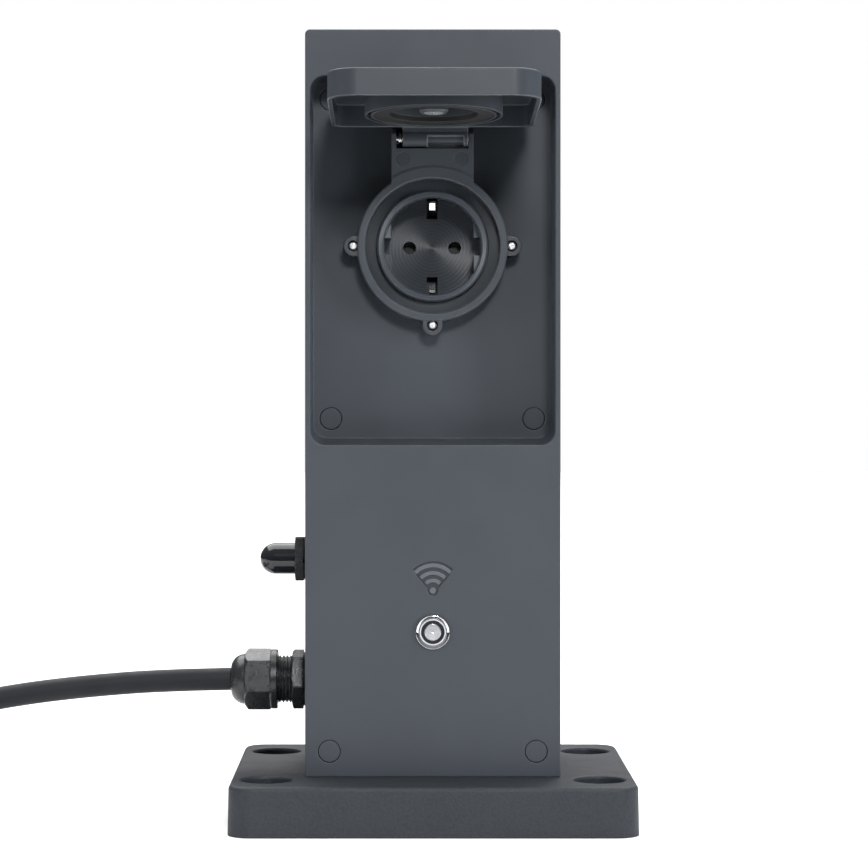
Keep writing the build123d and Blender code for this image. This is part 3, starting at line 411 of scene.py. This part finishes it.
def woven(name, colour):
    """Black webbing: warp and weft a fraction of a millimetre apart."""
    n = Nodes(name)
    across = n.add("ShaderNodeTexWave", bands_direction="Y", wave_profile="SIN")
    along = n.add("ShaderNodeTexWave", bands_direction="X", wave_profile="SIN")
    for wave in (across, along):
        n.fill(wave, Scale=420.0, Distortion=0.8, Detail=2.0)
        n.join(n.coords, wave.inputs["Vector"])
    weave = n.add("ShaderNodeMath", operation="MAXIMUM")
    n.join(across.outputs["Fac"], weave.inputs[0])
    n.join(along.outputs["Fac"], weave.inputs[1])
    n.join(n.blend(weave.outputs[0], shade(colour, 0.6), shade(colour, 1.5)), n.shader.inputs["Base Color"])
    n.shader.inputs["Roughness"].default_value = 0.85
    n.shader.inputs["Sheen Weight"].default_value = 0.3
    n.join(n.bump(weave.outputs[0], 0.0002), n.shader.inputs["Normal"])
    return n.material


def circuit_board(name, colour):
    """Green solder mask with tracks that show through as a lighter pattern."""
    n = Nodes(name)
    tracks = n.add("ShaderNodeTexBrick")
    n.fill(tracks, Scale=1.0, Mortar_Size=0.0004, Brick_Width=0.009, Row_Height=0.0025)
    turned = n.centred((0, 0, 0), turn=(math.radians(90), 0, 0))
    n.join(turned, tracks.inputs["Vector"])
    n.join(n.blend(tracks.outputs["Fac"], colour, shade(colour, 2.2)), n.shader.inputs["Base Color"])
    n.shader.inputs["Roughness"].default_value = 0.3
    n.join(n.bump(n.noise(0.0006), 0.00001), n.shader.inputs["Normal"])
    return n.material


def coat(material, *names):
    """Gives CAD nodes their material."""
    for name in names:
        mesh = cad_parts[name].data
        mesh.materials.clear()
        mesh.materials.append(material)


# ---------------------------------------------------------------- mesh helpers
def mesh_object(name, mesh):
    """A new object for a mesh, at the origin."""
    piece = bpy.data.objects.new(name, mesh)
    bpy.context.scene.collection.objects.link(piece)
    return piece


def frozen(piece, name, material):
    """An evaluated object as a plain mesh object with one material."""
    bpy.context.view_layer.update()
    graph = bpy.context.evaluated_depsgraph_get()
    mesh = bpy.data.meshes.new_from_object(piece.evaluated_get(graph))
    bpy.data.objects.remove(piece)
    mesh.name = name
    mesh.materials.clear()
    mesh.materials.append(material)
    return mesh_object(name, mesh)


def skinned(bm, rows, closed):
    """Faces from each row of points to the next, and from the last row to the first where it is closed."""
    for a, b in zip(rows, rows[1:] + rows[:1] if closed else rows[1:]):
        for k in range(len(a) - 1):
            bm.faces.new((a[k], a[k + 1], b[k + 1], b[k]))


def spun(name, profile, material):
    """A closed ring turned about an axis along Y, from rows of radius, axis x, y and axis z."""
    bm = bmesh.new()
    rows = []
    for k in range(SPIN_STEPS):
        angle = 2 * math.pi * k / SPIN_STEPS
        row = [bm.verts.new((x + r * math.cos(angle), y, z + r * math.sin(angle))) for r, x, y, z in profile]
        rows.append(row + row[:1])
    skinned(bm, rows, closed=True)
    bmesh.ops.recalc_face_normals(bm, faces=bm.faces)
    mesh = bpy.data.meshes.new(name)
    bm.to_mesh(mesh)
    bm.free()
    mesh.materials.append(material)
    smooth_by_angle(mesh, 30)
    return mesh_object(name, mesh)


def smooth_by_angle(mesh, degrees):
    """Smooth faces with sharp edges above an angle."""
    mesh.shade_smooth()
    mesh.set_sharp_from_angle(angle=math.radians(degrees))


def grow_by_nodes(name, build, material, **inputs):
    """Runs a geometry node tree on an empty mesh and keeps the result as a plain mesh."""
    tree = bpy.data.node_groups.new(name + "_tree", "GeometryNodeTree")
    tree.interface.new_socket("Geometry", in_out="OUTPUT", socket_type="NodeSocketGeometry")
    sockets = {}
    for key, value in inputs.items():
        kind = "NodeSocketInt" if isinstance(value, int) else "NodeSocketFloat"
        socket = tree.interface.new_socket(key.replace("_", " "), in_out="INPUT", socket_type=kind)
        sockets[key] = (socket.identifier, value)
    source = tree.nodes.new("NodeGroupInput")
    target = tree.nodes.new("NodeGroupOutput")
    result = build(tree, {k.replace("_", " "): source.outputs[k.replace("_", " ")] for k in inputs})
    real = tree.nodes.new("GeometryNodeRealizeInstances")
    paint = tree.nodes.new("GeometryNodeSetMaterial")
    paint.inputs["Material"].default_value = material
    tree.links.new(result, real.inputs["Geometry"])
    tree.links.new(real.outputs["Geometry"], paint.inputs["Geometry"])
    tree.links.new(paint.outputs["Geometry"], target.inputs[0])
    holder = mesh_object(name + "_holder", bpy.data.meshes.new(name + "_holder"))
    modifier = holder.modifiers.new("build", "NODES")
    modifier.node_group = tree
    for identifier, value in sockets.values():
        modifier[identifier] = value
    return frozen(holder, name, material)


# ---------------------------------------------------------------- operators
class POWERPOST_OT_camera(bpy.types.Operator):
    """Place the camera in front of the post"""
    bl_idname = "power_post.camera"
    bl_label = "Camera"

    def execute(self, context):
        stage = context.scene.power_post_stage
        data = bpy.data.cameras.new("front_camera")
        data.sensor_width = 36.0
        data.lens = stage.lens
        data.shift_x = stage.shift_x
        data.shift_y = stage.shift_y
        camera = bpy.data.objects.new("front_camera", data)
        camera.location = stage.camera_place
        camera.rotation_euler = (math.radians(90), 0, 0)
        context.scene.collection.objects.link(camera)
        context.scene.camera = camera
        return {"FINISHED"}


def coil_points(turn_radius, cord_radius, per_turn):
    """Four turns in two layers, which change place by a step at the same spot in each turn.

    The angles are in degrees about the coil's middle, and the turns run clockwise from COIL_START.
    """
    total = COIL_START + 360.0 * COIL_TURNS - COIL_END
    first_step = COIL_START - (STEP_FROM - 360.0)
    count = int(per_turn * total / 360.0)
    points = []
    for k in range(1, count + 1):
        angle = COIL_START - total * k / count
        travelled = COIL_START - angle - first_step
        turn = max(0, math.floor(travelled / 360.0) + 1)
        share = (travelled - 360.0 * (turn - 1)) / (STEP_FROM - STEP_TO) if turn else 0.0
        share = min(1.0, max(0.0, share))
        share = share * share * (3 - 2 * share)
        before, after = TURN_LEVELS[max(0, turn - 1)], TURN_LEVELS[turn]
        across = before[0] + (after[0] - before[0]) * share
        up = before[1] + (after[1] - before[1]) * share
        if turn == DIVING_TURN:
            across -= DIVE_INWARDS * math.sin(math.pi * share)
        radius = turn_radius + across * cord_radius
        points.append((COIL_CENTRE[0] * MM + radius * math.cos(math.radians(angle)),
                       COIL_CENTRE[1] * MM + radius * math.sin(math.radians(angle)), up * cord_radius))
    return points


class POWERPOST_OT_cord(bpy.types.Operator):
    """Lay the mains cord from the gland to its coil and its plug"""
    bl_idname = "power_post.cord"
    bl_label = "Mains cord"

    def execute(self, context):
        sizes = context.scene.power_post_cord
        radius = sizes.diameter / 2
        route = [tuple(c * MM for c in p) for p in CORD_RUN]
        route += coil_points(sizes.turn_radius, radius, sizes.points_per_turn)
        route += [tuple(c * MM for c in p) for p in CORD_TAIL]
        curve = bpy.data.curves.new("mains_cord", "CURVE")
        curve.dimensions = "3D"
        curve.bevel_depth = radius
        curve.bevel_resolution = 6
        curve.resolution_u = 6
        curve.use_fill_caps = True
        spline = curve.splines.new("NURBS")
        spline.points.add(len(route) - 1)
        for point, place in zip(spline.points, route):
            point.co = (*place, 1.0)
        spline.order_u = 3
        spline.use_endpoint_u = True
        spline.resolution_u = 6
        cord = mesh_object("mains_cord", curve)
        curve.materials.append(cord_sheath("cord_sheath", context.scene.power_post_finish.rubber))
        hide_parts("power_cable", "cable_coil", "cable_tail")
        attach(cord, "root")
        return {"FINISHED"}


def relief_tree(tree, given):
    """A tapered boot whose ribs are rings instanced along its axis."""
    new, link = tree.nodes.new, tree.links.new
    line = new("GeometryNodeMeshLine")
    line.mode = "END_POINTS"
    link(given["Rib count"], line.inputs["Count"])
    ends = {}
    for key, share in (("Start Location", FIRST_RIB), ("End Location", LAST_RIB)):
        place = new("ShaderNodeCombineXYZ")
        scaled = new("ShaderNodeMath")
        scaled.operation = "MULTIPLY"
        scaled.inputs[1].default_value = share
        link(given["Length"], scaled.inputs[0])
        link(scaled.outputs[0], place.inputs["Z"])
        ends[key] = place
    link(ends["Start Location"].outputs[0], line.inputs["Start Location"])
    offset = [s for s in line.inputs if s.name in ("End Location", "Offset")][0]
    link(ends["End Location"].outputs[0], offset)
    index = new("GeometryNodeInputIndex")
    last = new("ShaderNodeMath")
    last.operation = "SUBTRACT"
    last.inputs[1].default_value = 1
    link(given["Rib count"], last.inputs[0])
    share = new("ShaderNodeMapRange")
    link(index.outputs[0], share.inputs["Value"])
    link(last.outputs[0], share.inputs["From Max"])
    link(given["Thin radius"], share.inputs["To Min"])
    link(given["Thick radius"], share.inputs["To Max"])
    ring = new("GeometryNodeCurvePrimitiveCircle")
    ring.inputs["Resolution"].default_value = 40
    ring.inputs["Radius"].default_value = 1.0
    profile = new("GeometryNodeCurvePrimitiveCircle")
    profile.inputs["Resolution"].default_value = 8
    profile.inputs["Radius"].default_value = RIB_RADIUS
    rib = new("GeometryNodeCurveToMesh")
    link(ring.outputs["Curve"], rib.inputs["Curve"])
    link(profile.outputs["Curve"], rib.inputs["Profile Curve"])
    put = new("GeometryNodeInstanceOnPoints")
    link(line.outputs["Mesh"], put.inputs["Points"])
    link(rib.outputs["Mesh"], put.inputs["Instance"])
    link(share.outputs["Result"], put.inputs["Scale"])
    core = new("GeometryNodeMeshCone")
    core.inputs["Vertices"].default_value = 40
    core.inputs["Side Segments"].default_value = 4
    link(given["Thin radius"], core.inputs["Radius Bottom"])
    link(given["Thick radius"], core.inputs["Radius Top"])
    link(given["Length"], core.inputs["Depth"])
    both = new("GeometryNodeJoinGeometry")
    link(core.outputs["Mesh"], both.inputs["Geometry"])
    link(put.outputs["Instances"], both.inputs["Geometry"])
    smooth = new("GeometryNodeSetShadeSmooth")
    link(both.outputs["Geometry"], smooth.inputs["Geometry"])
    return smooth.outputs["Geometry"]


class POWERPOST_OT_plug(bpy.types.Operator):
    bl_idname = "power_post.plug"
    bl_label = "Plug and strain relief"

    def execute(self, context):
        sizes = context.scene.power_post_cord
        finish = context.scene.power_post_finish
        rubber = moulded("plug_rubber", shade(finish.rubber, 1.15), 0.5, grain=0.0008, depth=0.00004,
                         edge=0.0005)
        length = RELIEF_HIGH.y - RELIEF_LOW.y
        relief = grow_by_nodes("strain_relief", relief_tree, rubber, Rib_count=sizes.rib_count, Length=length,
                               Thin_radius=sizes.diameter / 2 + RELIEF_WALL, Thick_radius=RELIEF_THICK)
        centre = ((RELIEF_LOW.x + RELIEF_HIGH.x) / 2, RELIEF_HIGH.y, (RELIEF_LOW.z + RELIEF_HIGH.z) / 2)
        relief.data.transform(Matrix.Translation(centre) @ Matrix.Rotation(math.radians(90), 4, "X"))
        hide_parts("plug_relief")
        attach(relief, "root")
        coat(rubber, "plug_body")
        coat(metal("nickel_pins", (0.62, 0.61, 0.58), 0.22), "plug_pins")
        return {"FINISHED"}


def strap_loops(tree, given):
    """Small bent threads scattered on the strap's outer face."""
    new, link = tree.nodes.new, tree.links.new
    face = new("GeometryNodeObjectInfo")
    face.inputs["Object"].default_value = bpy.data.objects["coil_strap"]
    scatter = new("GeometryNodeDistributePointsOnFaces")
    scatter.distribute_method = "RANDOM"
    link(face.outputs["Geometry"], scatter.inputs["Mesh"])
    link(given["Loops per area"], scatter.inputs["Density"])
    link(given["Seed"], scatter.inputs["Seed"])
    arc = new("GeometryNodeCurveArc")
    arc.inputs["Resolution"].default_value = 5
    arc.inputs["Radius"].default_value = 0.00035
    arc.inputs["Sweep Angle"].default_value = math.radians(180)
    stand = new("GeometryNodeTransform")
    stand.inputs["Rotation"].default_value = (math.radians(90), 0, 0)
    link(arc.outputs["Curve"], stand.inputs["Geometry"])
    thread = new("GeometryNodeCurvePrimitiveCircle")
    thread.inputs["Resolution"].default_value = 3
    thread.inputs["Radius"].default_value = 0.00005
    strand = new("GeometryNodeCurveToMesh")
    link(stand.outputs["Geometry"], strand.inputs["Curve"])
    link(thread.outputs["Curve"], strand.inputs["Profile Curve"])
    turn = new("FunctionNodeRandomValue")
    turn.data_type = "FLOAT"
    angle = [s for s in turn.inputs if s.name == "Max" and s.type == "VALUE"][0]
    angle.default_value = math.radians(360)
    spin = new("FunctionNodeRotateRotation")
    spin.rotation_space = "LOCAL"
    about = new("FunctionNodeAxisAngleToRotation")
    value = [s for s in turn.outputs if s.type == "VALUE"][0]
    link(value, about.inputs["Angle"])
    link(scatter.outputs["Rotation"], spin.inputs["Rotation"])
    link(about.outputs["Rotation"], spin.inputs["Rotate By"])
    put = new("GeometryNodeInstanceOnPoints")
    link(scatter.outputs["Points"], put.inputs["Points"])
    link(strand.outputs["Mesh"], put.inputs["Instance"])
    link(spin.outputs["Rotation"], put.inputs["Rotation"])
    return put.outputs["Instances"]


class POWERPOST_OT_coil_strap(bpy.types.Operator):
    """Wrap the hook-and-loop strap round the coil"""
    bl_idname = "power_post.coil_strap"
    bl_label = "Coil strap"

    def execute(self, context):
        webbing = woven("strap_webbing", (0.012, 0.012, 0.013))
        half_wide, half_high, middle_high = 0.0102, 0.0098, 0.0112
        corner, width, thick = 0.0046, 0.011, 0.0007
        end_steps, end_gap, end_lift = 13, 0.0008, 0.0001
        centre = Vector((context.scene.power_post_cord.turn_radius, 0.0, middle_high))
        sides = (-width / 2, -width / 6, width / 6, width / 2)
        loop = []
        for k in range(4):
            corner_x = (half_wide - corner) * (1 if k in (0, 3) else -1)
            corner_z = (half_high - corner) * (1 if k in (0, 1) else -1)
            for step in range(7):
                angle = math.radians(90 * k + 15 * step)
                loop.append((corner_x + corner * math.cos(angle), corner_z + corner * math.sin(angle)))
        bm = bmesh.new()
        wrap = [[bm.verts.new((centre.x + x, centre.y + y, centre.z + z)) for y in sides] for x, z in loop]
        skinned(bm, wrap, closed=True)
        # the loose end lies on the wrap and stands off it more and more towards its tip
        end = []
        start = len(loop) - 6
        for step in range(end_steps):
            x, z = loop[(start + step) % len(loop)]
            lift = end_gap + end_lift * step * step / (end_steps - 1)
            out = Vector((x, z)).normalized() * lift
            end.append([bm.verts.new((centre.x + x + out.x, centre.y + y, centre.z + z + out.y))
                        for y in sides])
        skinned(bm, end, closed=False)
        bmesh.ops.recalc_face_normals(bm, faces=bm.faces)
        coil_middle = Matrix.Translation((COIL_CENTRE[0] * MM, COIL_CENTRE[1] * MM, 0))
        bm.transform(coil_middle @ Matrix.Rotation(TIE_TURN, 4, "Z"))
        mesh = bpy.data.meshes.new("coil_strap")
        bm.to_mesh(mesh)
        bm.free()
        strap = mesh_object("coil_strap", mesh)
        wall = strap.modifiers.new("thickness", "SOLIDIFY")
        wall.thickness = thick
        wall.offset = 1.0
        soft = strap.modifiers.new("round", "SUBSURF")
        soft.levels = soft.render_levels = 1
        strap = frozen(strap, "coil_strap", webbing)
        smooth_by_angle(strap.data, 50)
        area = sum(f.area for f in strap.data.polygons)
        density = context.scene.power_post_cord.tie_loops / area
        loops = grow_by_nodes("strap_loops", strap_loops, webbing, Loops_per_area=density, Seed=7)
        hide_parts("coil_tie")
        for piece in (strap, loops):
            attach(piece, "root")
        return {"FINISHED"}


class POWERPOST_OT_foot(bpy.types.Operator):
    """Finish the foot and its screws"""
    bl_idname = "power_post.foot"
    bl_label = "Foot"

    def execute(self, context):
        coat(sand_coat("foot_sand_coat", context.scene.power_post_finish.foot), "base_foot")
        coat(metal("zinc_screws", (0.55, 0.56, 0.58), 0.3), "foot_screws", "cover_screws", "board_screws",
             "terminal_screws", "button_nut", "antenna_locknut", "hinge_pin")
        return {"FINISHED"}


class POWERPOST_OT_post(bpy.types.Operator):
    """Finish the post's two shells, its caps and its seam"""
    bl_idname = "power_post.post"
    bl_label = "Post shells"

    def execute(self, context):
        colour = context.scene.power_post_finish.coat
        # the coat gets a painted highlight along its edges, and painted highlight and shade on the wireless
        # symbol
        satin = moulded("post_satin", colour, 0.46, grain=0.0005, depth=0.000022, tone=0.05, edge=0.0006,
                        specular=0.26, edge_highlight=0.05, shade_symbol=True)
        coat(satin, "front_cover", "rear_housing")
        coat(moulded("cap_satin", shade(colour, 0.97), 0.42, edge=0.0003, specular=0.3), "screw_caps")
        seal = moulded("seal_rubber", (0.008, 0.008, 0.009), 0.7, grain=0.0004, depth=0.00004)
        coat(seal, "housing_gasket", "socket_frame_gasket", "button_seal", "gland_washer", "gland_seal",
             "antenna_washer", "lid_gasket")
        return {"FINISHED"}


class POWERPOST_OT_socket(bpy.types.Operator):
    """Finish the socket's frame, insert, contacts and shutter"""
    bl_idname = "power_post.socket"
    bl_label = "Socket"

    def execute(self, context):
        finish = context.scene.power_post_finish
        # the socket plastic gets a painted highlight along its edges and painted shade in its grooves
        frame_plastic = moulded("socket_plastic", finish.socket, 0.34, grain=0.0005, depth=0.00002, tone=0.04,
                                edge=0.0004, specular=0.35, edge_highlight=0.05, corner_shade=0.5)
        coat(frame_plastic, "socket_frame", "lid_seal_carrier")
        coat(moulded("disc_plastic", shade(finish.socket, 0.8), 0.4, edge=0.0002), "bracket_plugs")
        coat(turned_plastic("insert_turned", finish.insert, SOCKET_AXIS), "socket_insert")
        coat(moulded("shutter_plastic", (0.006, 0.006, 0.007), 0.5), "shutter", "socket_rear_block")
        coat(metal("nickel_strip", (0.86, 0.87, 0.88), 0.16), "earth_clip", "hinge_spring", "shutter_spring")
        coat(metal("bright_screws", (0.95, 0.95, 0.97), 0.42), "socket_frame_screws", "lid_screw")
        coat(metal("contact_brass", (0.7, 0.5, 0.22), 0.25), "pin_contacts")
        return {"FINISHED"}


class POWERPOST_OT_lid(bpy.types.Operator):
    """Finish the lid's shell"""
    bl_idname = "power_post.lid"
    bl_label = "Lid"

    def execute(self, context):
        colour = shade(context.scene.power_post_finish.coat, 0.86)
        # the lid gets a painted highlight along its edges
        coat(moulded("lid_satin", colour, 0.36, grain=0.0005, depth=0.00002, tone=0.04, edge=0.0007,
                     specular=0.2, edge_highlight=0.14), "lid_shell")
        return {"FINISHED"}


class POWERPOST_OT_button(bpy.types.Operator):
    """Finish the push button"""
    bl_idname = "power_post.button"
    bl_label = "Push button"

    def execute(self, context):
        chrome = metal("bezel_chrome", (0.60, 0.61, 0.63), 0.06, brush=0.0000002)
        outer = (BEZEL_HIGH.x - BEZEL_LOW.x) / 2
        # its outline in millimetres: radius, and how far it stands out of the post's face
        outline = [(5.43, -0.6), (5.46, 0.0), (6.66, 1.0), (6.76, 1.04), (6.9, 1.0), (outer / MM, 0.72),
                   (outer / MM, 0.01), (5.82, 0.01), (5.82, -0.6)]
        profile = [(r * MM, BUTTON_AXIS.x, FACE_Y - out * MM, BUTTON_AXIS.z) for r, out in outline]
        bezel = spun("bezel", profile, chrome)
        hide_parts("button_bezel")
        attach(bezel, "root")
        # the return spring, which shortens as the button goes in, gets a mesh of its own
        spring = mesh_object("press_spring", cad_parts["button_spring"].data.copy())
        spring.data.materials.clear()
        spring.data.materials.append(metal("spring_steel", (0.6, 0.61, 0.63), 0.22))
        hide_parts("button_spring")
        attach(spring, "root")
        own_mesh(spring)
        coat(metal("cap_metal", (0.6, 0.61, 0.64), 0.36, brush=0.0000006), "button_cap")
        coat(glow_plastic("light_ring", (0.42, 0.44, 0.48)), "button_light_ring")
        coat(moulded("barrel_black", (0.006, 0.006, 0.007), 0.35), "button_barrel")
        return {"FINISHED"}


class POWERPOST_OT_side_fittings(bpy.types.Operator):
    """Finish the cable gland and the antenna"""
    bl_idname = "power_post.side_fittings"
    bl_label = "Gland and antenna"

    def execute(self, context):
        finish = context.scene.power_post_finish
        nylon = moulded("gland_nylon", finish.black, 0.3, grain=0.0007, depth=0.00007, tone=0.12,
                        tone_size=0.008, spread=0.08, edge=0.0006)
        coat(nylon, "gland_body", "gland_cap_nut", "gland_locknut", "antenna_nut")
        coat(moulded("radome_gloss", (0.008, 0.009, 0.012), 0.12, grain=0.002, depth=0.00001, spread=0.03),
             "antenna_radome")
        coat(cord_sheath("cord_sheath_inner", finish.rubber), "cable_inner")
        return {"FINISHED"}


class POWERPOST_OT_electronics(bpy.types.Operator):
    """Finish the board, its parts and the wires inside the post"""
    bl_idname = "power_post.electronics"
    bl_label = "Inside parts"

    def execute(self, context):
        coat(circuit_board("solder_mask", (0.01, 0.09, 0.035)), "control_board")
        inside = [
            ("terminal_cream", (0.55, 0.54, 0.48), 0.4, "mains_terminals"),
            ("relay_black", (0.01, 0.01, 0.012), 0.3, "relay", "power_module"),
            ("lead_black", (0.012, 0.012, 0.012), 0.45, "antenna_lead"),
            ("wire_brown", (0.11, 0.035, 0.012), 0.45, "wire_line"),
            ("wire_blue", (0.01, 0.06, 0.35), 0.45, "wire_neutral"),
            ("wire_green", (0.05, 0.28, 0.03), 0.45, "wire_earth"),
        ]
        for name, colour, roughness, *names in inside:
            coat(moulded(name, colour, roughness, grain=0.0006, depth=0.00002), *names)
        coat(metal("can_aluminium", (0.4, 0.43, 0.5), 0.35), "capacitor")
        coat(metal("tinned_shield", (0.62, 0.63, 0.64), 0.35), "wireless_module")
        return {"FINISHED"}


def soft_box(name, place, aim, size, power):
    """A rectangular area light that looks at a point."""
    data = bpy.data.lights.new(name, "AREA")
    data.shape = "RECTANGLE"
    data.size, data.size_y = size
    data.energy = power
    light = bpy.data.objects.new(name, data)
    light.location = place
    light.rotation_euler = (Vector(aim) - Vector(place)).to_track_quat("-Z", "Y").to_euler()
    bpy.context.scene.collection.objects.link(light)
    return light


class POWERPOST_OT_stage(bpy.types.Operator):
    """Lay the pale floor and set the studio light"""
    bl_idname = "power_post.stage"
    bl_label = "Floor and light"

    def execute(self, context):
        stage = context.scene.power_post_stage
        context.scene.view_settings.view_transform = "Standard"
        near, far, half = FLOOR_NEAR, 2 * stage.floor_size, stage.floor_size
        mesh = bpy.data.meshes.new("floor")
        mesh.from_pydata([(-half, near, 0), (half, near, 0), (half, far, 0), (-half, far, 0)], [],
                         [(0, 1, 2, 3)])
        floor = mesh_object("floor", mesh)
        n = Nodes("floor_white")
        n.join(n.blend(n.noise(0.3), (0.9, 0.9, 0.9), (0.93, 0.93, 0.93)), n.shader.inputs["Base Color"])
        n.shader.inputs["Roughness"].default_value = 0.9
        n.shader.inputs["Specular IOR Level"].default_value = 0.1
        mesh.materials.append(n.material)
        # the side lights brighten the post without showing in its gloss
        middle, behind = (0, 0, 0.16), (0, 2.0, 0)
        right_power = stage.side_power * stage.right_share
        for name, place, aim, size, power, in_gloss in (
                ("key_light", (0.26, -1.72, 1.12), middle, (0.4, 0.34), stage.key_power, True),
                ("left_light", (-1.5, -0.75, 0.35), middle, (0.5, 1.1), stage.side_power, False),
                ("right_light", (1.5, -0.75, 0.35), middle, (0.5, 1.1), right_power, False),
                ("top_light", (0.0, 2.0, 3.0), behind, (5.0, 5.2), stage.top_power, True)):
            soft_box(name, place, aim, size, power).visible_glossy = in_gloss
        world = bpy.data.worlds.new("studio")
        world.use_nodes = True
        tree = world.node_tree
        background = tree.nodes["Background"]
        background.inputs["Color"].default_value = (*WHITE, 1.0)
        # lighting is soft and brighter from above, and the camera sees plain white behind the floor
        aim = tree.nodes.new("ShaderNodeTexCoord")
        split = tree.nodes.new("ShaderNodeSeparateXYZ")
        room = tree.nodes.new("ShaderNodeMapRange")
        room.interpolation_type = "SMOOTHSTEP"
        room.inputs["From Min"].default_value = -0.2
        room.inputs["From Max"].default_value = 0.9
        room.inputs["To Min"].default_value = stage.room_low
        room.inputs["To Max"].default_value = stage.room_high
        tree.links.new(aim.outputs["Generated"], split.inputs["Vector"])
        tree.links.new(split.outputs["Z"], room.inputs["Value"])
        seen = tree.nodes.new("ShaderNodeLightPath")
        strength = tree.nodes.new("ShaderNodeMix")
        strength.inputs["B"].default_value = 1.0
        tree.links.new(room.outputs["Result"], strength.inputs["A"])
        tree.links.new(seen.outputs["Is Camera Ray"], strength.inputs["Factor"])
        tree.links.new(strength.outputs["Result"], background.inputs["Strength"])
        context.scene.world = world
        return {"FINISHED"}


STEPS = [
    POWERPOST_OT_camera, POWERPOST_OT_cord, POWERPOST_OT_coil_strap, POWERPOST_OT_plug, POWERPOST_OT_foot,
    POWERPOST_OT_post, POWERPOST_OT_socket, POWERPOST_OT_lid, POWERPOST_OT_button, POWERPOST_OT_side_fittings,
    POWERPOST_OT_electronics, POWERPOST_OT_stage,
]


class POWERPOST_PT_panel(bpy.types.Panel):
    """The steps that build the power post's looks"""
    bl_idname = "POWERPOST_PT_panel"
    bl_label = "Power post"
    bl_space_type = "VIEW_3D"
    bl_region_type = "UI"
    bl_category = "Power post"

    def draw(self, context):
        for settings in (context.scene.power_post_cord, context.scene.power_post_finish,
                         context.scene.power_post_stage):
            box = self.layout.box()
            for key in settings.__annotations__:
                box.prop(settings, key)
        for step in STEPS:
            self.layout.operator(step.bl_idname)


SETTINGS = {"power_post_cord": PowerPostCord, "power_post_finish": PowerPostFinish,
            "power_post_stage": PowerPostStage}


def register():
    """Registers the settings, the steps and the panel."""
    for group in SETTINGS.values():
        bpy.utils.register_class(group)
    for name, group in SETTINGS.items():
        setattr(bpy.types.Scene, name, PointerProperty(type=group))
    for step in STEPS:
        bpy.utils.register_class(step)
    bpy.utils.register_class(POWERPOST_PT_panel)


def unregister():
    """Removes what register added."""
    bpy.utils.unregister_class(POWERPOST_PT_panel)
    for step in reversed(STEPS):
        bpy.utils.unregister_class(step)
    for name in SETTINGS:
        delattr(bpy.types.Scene, name)
    for group in reversed(list(SETTINGS.values())):
        bpy.utils.unregister_class(group)


def main():
    """Runs every step in order."""
    register()
    for step in STEPS:
        group, name = step.bl_idname.split(".")
        getattr(getattr(bpy.ops, group), name)()


if __name__ == "__main__":
    main()
